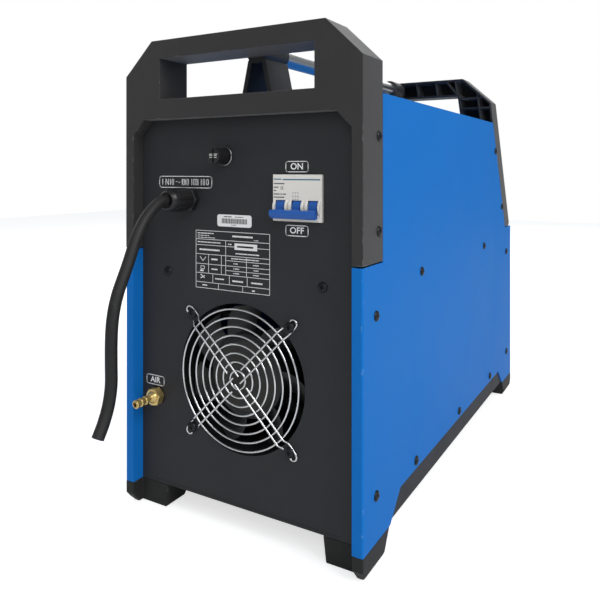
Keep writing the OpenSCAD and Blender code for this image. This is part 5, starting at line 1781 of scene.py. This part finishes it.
@dataclass
class RearPrint:
    """The printed words, outlines, bar sticker and rating grid on the rear panel, with a painted shadow line above
    the tray.
    """

    line: float = 0.75
    lip_half: float = 112.0
    lip_z: float = 28.4
    letter_h: float = 6.2
    letter_w: float = 1.05
    label_h: float = 10.0
    corner: float = 2.2
    words: dict[str, tuple[float, float, float]] = field(
        default_factory=lambda: {
            "ON": (-66.95, 370.0, 24.7), "OFF": (-66.95, 308.5, 24.7), "AIR": (113.5, 136.0, 25.0),
        }
    )
    supply_at: tuple[float, float] = (71.4, 354.0)
    supply_size: tuple[float, float] = (71.8, 12.0)
    sticker_at: tuple[float, float] = (6.9, 315.0)
    sticker_half: tuple[float, float] = (21.4, 6.2)
    bars: int = 27
    grid_x: tuple[float, float] = (56.4, -36.0)
    grid_z: tuple[float, float] = (303.5, 243.6)

    def build(self, paints: Paints) -> None:
        """Makes the print and the painted shadow line on the rear panel."""
        marks = Workpiece("rear_panel_print", "label_print")
        for word, (x, z, wide) in self.words.items():
            face = on_rear(x, z)
            marks.words(word, self.letter_h, face, stretch=self.letter_w)
            marks.frame_line(wide, self.label_h, self.corner, self.line, face)
        self._supply_mark(marks)
        self._grid(marks)
        # A dark strip along the panel's lower edge: painted shadow in the gap between the panel and the tray.
        marks.use("slot_shadow").stroke([(-self.lip_half, 0), (self.lip_half, 0)], 0.9,
                                        Facing.REAR.at(0, CASE.panel_y - 0.05, self.lip_z))
        marks.piece(paints, "black_sheet")
        self._sticker().piece(paints, "black_sheet")

    def _supply_mark(self, marks: Workpiece) -> None:
        """Draws the outlined mark for the mains supply, plain strokes and a wave."""
        face = on_rear(*self.supply_at)
        marks.frame_line(*self.supply_size, self.corner + 0.6, self.line, face)
        tall = 2.9
        for x in (-31.5, -27.0, -20.4, -4.0, 0.4, 9.2, 17.6, 22.0):
            marks.stroke([(x, -tall), (x, tall)], 0.75, face)
        marks.stroke([(-26.4, tall), (-23.4, -tall)], 0.7, face)
        marks.stroke([(-23.0, -tall), (-23.0, tall)], 0.7, face)
        for x in (-17.0, -1.8, 3.6, 12.4, 15.0, 25.6, 30.4):
            left, right = x - 1.1, x + 1.1
            marks.stroke([(left, -tall), (left, tall), (right, tall), (right, -tall)], 0.7, face, closed=True)
        marks.stroke([(-12.4 + k * 0.8, 0.8 * math.sin(k * 0.9)) for k in range(8)], 0.7, face)

    def _grid(self, marks: Workpiece) -> None:
        """Draws the rating grid with dashes where its rows would be filled in."""
        x0, x1 = self.grid_x
        z0, z1 = self.grid_z
        wide, tall = x0 - x1, z0 - z1
        face = on_rear(x0, z0)
        thin = 0.5

        def rule(ax: float, az: float, bx: float, bz: float, width: float = thin) -> None:
            """Draws one line between shares of the grid."""
            marks.stroke([(ax * wide, -az * tall), (bx * wide, -bz * tall)], width, face)

        marks.stroke([(0, 0), (wide, 0), (wide, -tall), (0, -tall)], thin, face, closed=True)
        for row in (0.15, 0.25, 0.41, 0.74, 0.90):
            rule(0, row, 1, row)
        rule(0, 0.58, 0.42, 0.58)
        for row in (0.49, 0.58, 0.66):
            rule(0.42, row, 1, row)
        for columns, low, high in (((0.42,), 0.15, 0.41), ((0.18, 0.36, 0.42, 0.70), 0.41, 0.74),
                                   ((0.24, 0.47, 0.71), 0.74, 0.90), ((0.32, 0.65), 0.90, 1.0)):
            for column in columns:
                rule(column, low, column, high)
        for x, z, long, width in (
            (0.03, 0.045, 0.22, 1.0), (0.03, 0.085, 0.16, 0.7), (0.03, 0.12, 0.24, 0.7), (0.52, 0.07, 0.27, 2.2),
            (0.80, 0.12, 0.07, 0.7), (0.03, 0.20, 0.32, 1.0), (0.06, 0.33, 0.28, 2.6), (0.46, 0.21, 0.05, 1.1),
            (0.56, 0.36, 0.30, 1.1), (0.50, 0.45, 0.36, 1.0), (0.23, 0.49, 0.08, 2.0), (0.23, 0.66, 0.08, 1.4),
            (0.53, 0.535, 0.07, 0.9), (0.53, 0.62, 0.08, 0.9), (0.53, 0.70, 0.08, 0.9), (0.79, 0.535, 0.09, 0.9),
            (0.80, 0.62, 0.06, 0.9), (0.79, 0.70, 0.09, 0.9), (0.07, 0.70, 0.04, 1.8), (0.28, 0.82, 0.12, 1.3),
            (0.52, 0.83, 0.14, 1.6), (0.77, 0.83, 0.14, 1.6), (0.10, 0.95, 0.07, 1.2), (0.78, 0.96, 0.05, 1.2),
        ):
            self._dashes(marks, face, x * wide, -z * tall, long * wide, width)
        for shares, width, closed in (
            (((0.06, 0.46), (0.10, 0.53), (0.14, 0.46)), 0.7, False),
            (((0.07, 0.62), (0.12, 0.62), (0.12, 0.67), (0.07, 0.67)), 0.6, True),
            (((0.07, 0.77), (0.12, 0.82)), 0.9, False), (((0.07, 0.83), (0.12, 0.79)), 0.9, False),
        ):
            marks.stroke([(x * wide, -z * tall) for x, z in shares], width, face, closed=closed)
        marks.use("label_white")
        marks.box((0.54 * wide, -0.295 * tall, 0), (0.84 * wide, -0.185 * tall, 0.14), face)
        marks.use("gauge_print")
        self._dashes(marks, face @ shift(0, 0, 0.1), 0.59 * wide, -0.24 * tall, 0.20 * wide, 2.6, 1.1)

    @staticmethod
    def _dashes(marks: Workpiece, face: Matrix, x: float, y: float, long: float, width: float,
                step: float = 1.9) -> None:
        """Draws a row of short bars that stands for a line of small print."""
        count = max(1, round(long / step))
        for k in range(count):
            share = 0.55 + 0.25 * math.sin(k * 2.3 + x)
            marks.stroke([(x + k * step, y), (x + (k + share) * step - width * 0.3, y)], min(width, 1.7), face)

    def _sticker(self) -> Workpiece:
        """Makes the white sticker with plain bars."""
        face = on_rear(*self.sticker_at)
        sheet = rounded(*self.sticker_half, 2.6, 5)
        sticker = Workpiece("bar_sticker", "label_white").prism(sheet, 0, 0.16, face)
        sticker.use("gauge_print")
        top = face @ shift(0, 0, 0.12)
        x = -15.6
        for k in range(self.bars):
            bar = 0.35 + 0.3 * ((k * 7) % 3)
            sticker.box((x, -2.9, 0), (x + bar, 2.2, 0.1), top)
            x += bar + 0.42 + 0.22 * ((k * 5) % 2)
        for row in ((-12.5, 4.0, 11.0, 0.9, 1.7), (1.5, 4.0, 11.0, 0.7, 1.7), (-3.0, -4.3, 6.0, 0.6, 1.5)):
            self._dashes(sticker, top, *row)
        return sticker


# --- front end


@dataclass
class OutputSockets:
    """The torch connector and the work-lead socket at the foot of the front panel."""

    z: float = 95.0
    torch_x: float = 62.0
    torch_out: float = 38.0
    torch_r: float = 20.0
    torch_bore_r: float = 8.0
    thread_foot: float = 14.0
    thread_pitch: float = 2.6
    threads: int = 8
    contacts: int = 5
    contact_ring: float = 12.9
    work_x: float = -62.0
    work_out: float = 22.0
    work_r: float = 23.0
    work_bore_r: float = 6.6
    bore_l: float = 30.0

    def build(self, paints: Paints) -> None:
        """Makes both sockets."""
        self._torch(paints)
        self._work(paints)

    def _torch(self, paints: Paints) -> None:
        """Makes the square flange, its barrel with thread and the brass inside."""
        face = Facing.FRONT.at(self.torch_x, -CASE.panel_y, self.z)
        r, out = self.torch_r, self.torch_out
        thread = []
        for k in range(self.threads):
            low = self.thread_foot + k * self.thread_pitch
            thread += [(r - 0.9, low), (r, low + 0.7), (r, low + 1.3), (r - 0.9, low + 2.0)]
        flange = Workpiece("torch_flange_plate", "socket_moulding")
        flange.box((-r - 8, -r - 8, 0), (r + 8, r + 8, 6), face, 1.2)
        flange.cut(Workpiece("flange_bore").tube(0, r - 4, -1, 8, face, 64))
        flange.lathe([(r - 4, 0.2), (r, 0.2), (r, 5), (r + 1.5, 6.0), (r + 1.5, 6.6), (r, 9.5), (r - 0.9, 12),
                      *thread, (r - 0.9, out - 1), (r - 1.6, out), (r - 4, out)], face, 64)
        flange.use("black_zinc")
        reach = r + 3
        for x, y in ((-reach, -reach), (-reach, reach), (reach, -reach), (reach, reach)):
            spot = face @ shift(x, y, 6)
            flange.lathe([(0, 1.1), (1.3, 1.1), (1.4, 1.7), (2.6, 1.5), (3.1, 0.6), (3.1, 0), (0, 0)], spot, 24)
        flange.piece(paints, "socket_plastic", "torch_flange")
        core = Workpiece("torch_socket_brass", "turned_brass")
        inner, hole, deep = r - 4.25, self.torch_bore_r, out - self.bore_l
        core.lathe([(0, -14), (inner, -14), (inner, out - 3), (inner - 0.6, out - 2.4), (hole + 2.6, out - 2.4),
                    (hole + 2, out), (hole + 0.5, out), (hole, out - 0.5), (hole, deep), (0, deep)], face, 56)
        for x, y in circle_points(self.contact_ring, self.contacts, 18):
            spot = face @ shift(x, y, out - 2.4)
            core.use("plated_cap").lathe([(0, -1), (1.1, -1), (1.1, 1.6), (0.7, 2.1), (0, 2.1)], spot, 16)
        core.piece(paints, "brass", "torch_socket")

    def _work(self, paints: Paints) -> None:
        """Makes the bayonet socket for the work lead."""
        face = Facing.FRONT.at(self.work_x, -CASE.panel_y, self.z)
        out, hole, wide = self.work_out, self.work_bore_r, self.work_r
        r, deep = hole + 5, out - 1 - self.bore_l
        shell = Workpiece("work_socket_ring", "socket_moulding")
        neck = wide - 6
        shell.prism(fluted(neck, 0.9, 6, 2, 144), 7.0, out - 0.8, face, 0.5)
        shell.cut(Workpiece("shell_bore").tube(0, r, 0, out + 1, face, 56))
        shell.lathe([(r, 0), (wide, 0), (wide, 5.2), (wide - 1.4, 7.2), (neck - 0.4, 8), (r, 8)], face, 64)
        shell.piece(paints, "socket_plastic", "work_socket_shell")
        core = Workpiece("work_socket_brass", "turned_brass")
        core.lathe([(0, -14), (r - 0.25, -14), (r - 0.25, out - 1), (hole + 0.8, out - 1), (hole, out - 1.8),
                    (hole, deep), (0, deep)], face, 56)
        core.cut(Workpiece("key_slot").box((-2.2, 0, out - 5), (2.2, hole + 3.2, out + 1), face))
        core.piece(paints, "brass", "work_socket_insert")


@dataclass
class ControlDesk:
    """The control fascia with its knobs, buttons, lamps, display and gauge."""

    row: float = 34.0
    knob_row: float = 46.0
    mid: float = 84.0
    top: float = 122.0
    knob_x: float = -62.0
    gauge_x: float = 78.0
    display_x: float = -45.0
    knob_r: float = 18.0
    knob_h: float = 12.0
    regulator_r: float = 14.0
    regulator_h: float = 14.0
    knob_gap: float = 1.0
    shaft_r: float = 3.0
    plate_t: float = 3.0
    gauge_r: float = 21.0
    gauge_out: float = 6.0
    display: tuple[float, float] = (78.0, 36.0)
    button_r: float = 6.0
    button_out: float = 3.0
    button_x: float = -14.0
    button_pitch: float = 26.0
    lamps: int = 4
    lamp_x: float = -8.0
    lamp_pitch: float = 14.0
    scale_start: float = 225.0
    scale_sweep: float = 270.0
    number_ring: float = 9.2
    needle_rest: float = 135.0
    edge_round: float = 0.35
    least_edge: float = 4.0

    def build(self, paints: Paints, forms: Forms) -> None:
        """Makes everything on the control fascia."""
        dress(paints, "control_fascia_plate", "fascia_moulding", "control_fascia", "fascia_plastic",
              self.edge_round, 2, longer(self.least_edge))
        self._print(paints)
        self._knob("current_dial", self.knob_x, self.knob_r, self.knob_h, 12).piece(
            paints, "knob_plastic", "current_knob", body=Body.CURRENT)
        self._knob("pressure_dial", self.gauge_x, self.regulator_r, self.regulator_h, 10).piece(
            paints, "knob_plastic", "regulator_knob", body=Body.REGULATOR)
        for index, (name, body) in enumerate((("mode", Body.MODE), ("trigger", Body.TRIGGER), ("purge", Body.PURGE))):
            self._button(name, index).piece(paints, "button_metal", f"{name}_button", body=body)
        self._display(paints)
        self._lamps(paints)
        self._gauge(paints, forms)

    def _knob(self, name: str, x: float, r: float, h: float, flutes: int) -> Workpiece:
        """Makes a fluted knob with a pointer line, hollow for its shaft."""
        place = CASE.on_fascia(x, self.knob_row)
        knob = Workpiece(name, "knob_soft")
        low, high = self.knob_gap, self.knob_gap + h
        knob.prism(fluted(r, 1.1, flutes, 2, flutes * 16), low + 2.2, high, place, 0.9)
        knob.lathe([(0, low), (r + 0.4, low), (r + 0.4, low + 1.4), (r - 0.2, low + 2.4), (0, low + 2.4)], place, 64)
        well = Workpiece("shaft_bore").tube(0, self.shaft_r + 0.25, -1, high - 2, place, 32)
        dish = Workpiece("knob_dish").lathe([(0, high - 0.5), (r * 0.55, high - 0.5), (r * 0.66, high + 0.4),
                                             (0, high + 0.4)], place, 64)
        knob.cut(well, dish)
        knob.use("knob_mark").box((-0.7, r * 0.30, high - 0.55), (0.7, r * 0.62, high - 0.38), place)
        knob.box((-0.7, r * 0.70, high - 0.05), (0.7, r * 0.93, high + 0.12), place)
        return knob

    def _button(self, name: str, index: int) -> Workpiece:
        """Makes a push button with a dished top and the collar that keeps it in."""
        place = CASE.on_fascia(self.button_x + index * self.button_pitch, self.row)
        r, out, back = self.button_r, self.button_out, -self.plate_t - 2
        button = Workpiece(f"{name}_push_button", "button_anodised")
        button.lathe([(0, back), (r + 1.5, back), (r + 1.5, back + 1.7), (r, back + 1.7), (r, out - 0.7),
                      (r - 0.3, out - 0.2), (r - 1.0, out), (r * 0.6, out - 0.35), (0, out - 0.5)], place, 40)
        return button

    def _print(self, paints: Paints) -> None:
        """Prints the dial's scale and numbers and the outlines of the groups."""
        marks = Workpiece("fascia_print", "label_print")
        for x, r, numbered in ((self.knob_x, self.knob_r, True), (self.gauge_x, self.regulator_r, False)):
            place = CASE.on_fascia(x, self.knob_row)
            for k in range(11):
                a = math.radians(self.scale_start - k * self.scale_sweep / 10)
                inner, outer = r + 3.0, r + (5.6 if k % 2 == 0 else 4.4)
                marks.stroke([polar(inner, a), polar(outer, a)], 0.6, place)
                if numbered and k % 2 == 0:
                    marks.words(str(k), 3.6, place @ shift(*polar(outer + 3.6, a), 0))
        for index in range(3):
            place = CASE.on_fascia(self.button_x + index * self.button_pitch, self.row)
            marks.stroke([(self.button_r + 2.2) * Vector(p) for p in circle_points(1, 32)], 0.45, place, closed=True)
        marks.frame_line(self.display[0] + 8, self.display[1] + 8, 4, 0.5, CASE.on_fascia(self.display_x, self.top))
        marks.words("AIR", 4.4, CASE.on_fascia(self.gauge_x, self.mid - 7))
        marks.piece(paints, "fascia_plastic")

    def _display(self, paints: Paints) -> None:
        """Makes the smoked window with its lit number."""
        place = CASE.on_fascia(self.display_x, self.top)
        w, h = self.display[0] / 2, self.display[1] / 2
        window = Workpiece("display_pane", "display_smoked")
        window.box((-w, -h, -self.plate_t), (w, h, 0.8), place, 0.4)
        window.use("display_digit")
        for index, digit in enumerate((6, 0)):
            self._digit(window, digit, place @ shift(6 + index * 17, -2, 0.8))
        window.piece(paints, "display_dark", "display_window")

    @staticmethod
    def _digit(window: Workpiece, digit: int, place: Matrix) -> None:
        """Draws one seven-segment digit."""
        lit = {0: "abcdef", 6: "acdefg"}[digit]
        w, h = 5.0, 9.5
        ends = {"a": ((-w, h), (w, h)), "b": ((w, h), (w, 0)), "c": ((w, 0), (w, -h)), "d": ((-w, -h), (w, -h)),
                "e": ((-w, 0), (-w, -h)), "f": ((-w, h), (-w, 0)), "g": ((-w, 0), (w, 0))}
        trim = 0.12
        for name in lit:
            a, b = (Vector(end) for end in ends[name])
            window.stroke([a + (b - a) * trim, b - (b - a) * trim], 1.9, place, 0.08)

    def _lamps(self, paints: Paints) -> None:
        """Makes the four status lamps."""
        lamps = Workpiece("status_lamp_set", "lamp_lens")
        for i in range(self.lamps):
            place = CASE.on_fascia(self.lamp_x + i * self.lamp_pitch, self.mid)
            lens = [(0, -self.plate_t), (2.5, -self.plate_t), (2.5, 0.3), (2.1, 0.9), (1.1, 1.35), (0, 1.5)]
            lamps.use("lamp_lens").lathe(lens, place, 24)
            lamps.use("socket_moulding").lathe([(2.55, 0), (3.4, 0), (3.2, 0.7), (2.55, 0.7)], place, 24)
        lamps.piece(paints, "lamp_red", "status_lamps")

    def _gauge(self, paints: Paints, forms: Forms) -> None:
        """Makes the pressure gauge: case, dial, ticks, numbers, needle and glass."""
        place = CASE.on_fascia(self.gauge_x, self.top - 6)
        r, out, back = self.gauge_r, self.gauge_out, -self.plate_t - 16
        case = Workpiece("gauge_body", "gauge_black")
        case.lathe([(0, back), (r - 3, back), (r - 3, 0), (r, 0), (r, out - 1.2), (r - 0.9, out), (r - 2.4, out),
                    (r - 3.6, out - 1.6), (r - 4, out - 2.2), (r - 4, -2), (0, -2)], place, 72)
        dial = place @ shift(0, 0, -2)
        case.use("gauge_dial").tube(0, r - 4.05, 0, 0.4, dial, 64)
        case.use("gauge_print")
        top = dial @ shift(0, 0, 0.4)
        for number in range(6):
            a = math.radians(self.scale_start - number * self.scale_sweep / 5)
            case.words(str(number * 2), 2.7, top @ shift(*polar(self.number_ring, a), 0), 0.08)
        case.piece(paints, "gauge_black", "gauge_case")
        tick = Workpiece("gauge_tick").box((r - 7.4, -0.22, 0), (r - 5, 0.22, 0.1))
        made = forms.rings.ring("gauge_tick_set", tick, 26, top, paints["gauge_print"],
                                start=self.scale_start - self.scale_sweep, step=self.scale_sweep / 25)
        hand_over(made, "gauge_black")
        turned = place @ spin(self.needle_rest)
        needle = Workpiece("gauge_pointer", "needle_red")
        needle.prism([(-0.9, -4.5), (0.9, -4.5), (0.25, r - 8), (-0.25, r - 8)], 0, 0.5, turned)
        needle.use("gauge_black").lathe([(0, -1.6), (2.0, -1.6), (2.0, 1.0), (1.4, 1.3), (0, 1.3)], place, 24)
        needle.piece(paints, "needle_red", "gauge_needle", body=Body.NEEDLE)
        glass = Workpiece("gauge_pane", "gauge_clear")
        glass.lathe([(0, out - 2.5), (r - 4.25, out - 2.5), (r - 4.25, out - 1.2), (0, out - 1.0)], place, 64)
        glass.piece(paints, "gauge_clear", "gauge_glass")


# --- insides


@dataclass
class Internals:
    """The electrics and fittings inside the casing."""

    tray_top: float = 28.3
    inductor_x: float = 40.0
    inductor_y: float = -232.0
    inductor_r: float = 48.0
    inductor_hole: float = 24.0
    inductor_h: float = 44.0
    turns: int = 30
    cover: float = 3.0
    wire_r: float = 1.5
    plain_nodes: dict[str, str] = field(
        default_factory=lambda: {
            "mid_shelf": "zinc_sheet", "breaker_rail": "zinc_sheet", "gland_locknut": "gland_nylon",
            "air_locknut": "turned_brass", "air_hose": "hose_blue", "air_valve": "turned_brass",
            "valve_bracket": "zinc_sheet", "current_encoder": "encoder_steel", "air_regulator": "sink_aluminium",
            "primary_heatsink": "sink_aluminium", "output_heatsink": "sink_aluminium",
            "power_modules": "module_epoxy", "rectifiers": "module_epoxy", "main_transformer": "core_ferrite",
            "power_board": "board_green",
        }
    )

    def build(self, paints: Paints, forms: Forms) -> None:
        """Paints the plain nodes and winds the inductor."""
        for name, finish in self.plain_nodes.items():
            mesh = NODES[name].data
            mesh.materials.clear()
            mesh.materials.append(paints[finish])
        LOG.info("%d plain nodes painted", len(self.plain_nodes))
        core = Workpiece("inductor_core", "core_ferrite")
        low, high = self.tray_top + self.cover, self.tray_top + self.inductor_h - self.cover
        inner, outer = self.inductor_hole + self.cover, self.inductor_r - self.cover
        place = shift(self.inductor_x, self.inductor_y, 0)
        core.tube(inner, outer, low, high, place, 64)
        core.piece(paints, "core_dark")
        wire = self.wire_r
        loop = [(inner - wire, 0, low), (inner - wire, 0, high), (inner, 0, high + wire), (outer, 0, high + wire),
                (outer + wire, 0, high), (outer + wire, 0, low), (outer, 0, low - wire), (inner, 0, low - wire),
                (inner - wire, 0, low)]
        turn = Workpiece("inductor_turn").sweep(loop, wire, 8)
        made = forms.rings.ring("inductor_winding", turn, self.turns, place, paints["copper_enamel"])
        hand_over(made, "copper_coil", "output_inductor")


def main() -> None:
    """Loads the frame and builds the unit round it."""
    logging.basicConfig(level=logging.INFO, format="%(message)s")
    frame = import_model()
    NODES.update(frame["nodes"])
    Studio().build()
    paints = Paints()
    forms = Forms()
    MainsCord().build(paints)
    SheetShell().build(paints)
    EndFrames().build(paints)
    Feet().build(paints)
    screws = CasingScrews()
    screws.build(paints, forms)
    Fan().build(paints, forms, screws)
    Breaker().build(paints)
    FuseUnit().build(paints)
    CableGland().build(paints)
    AirInlet().build(paints)
    RearPrint().build(paints)
    OutputSockets().build(paints)
    ControlDesk().build(paints, forms)
    Internals().build(paints, forms)


if __name__ == "__main__":
    main()
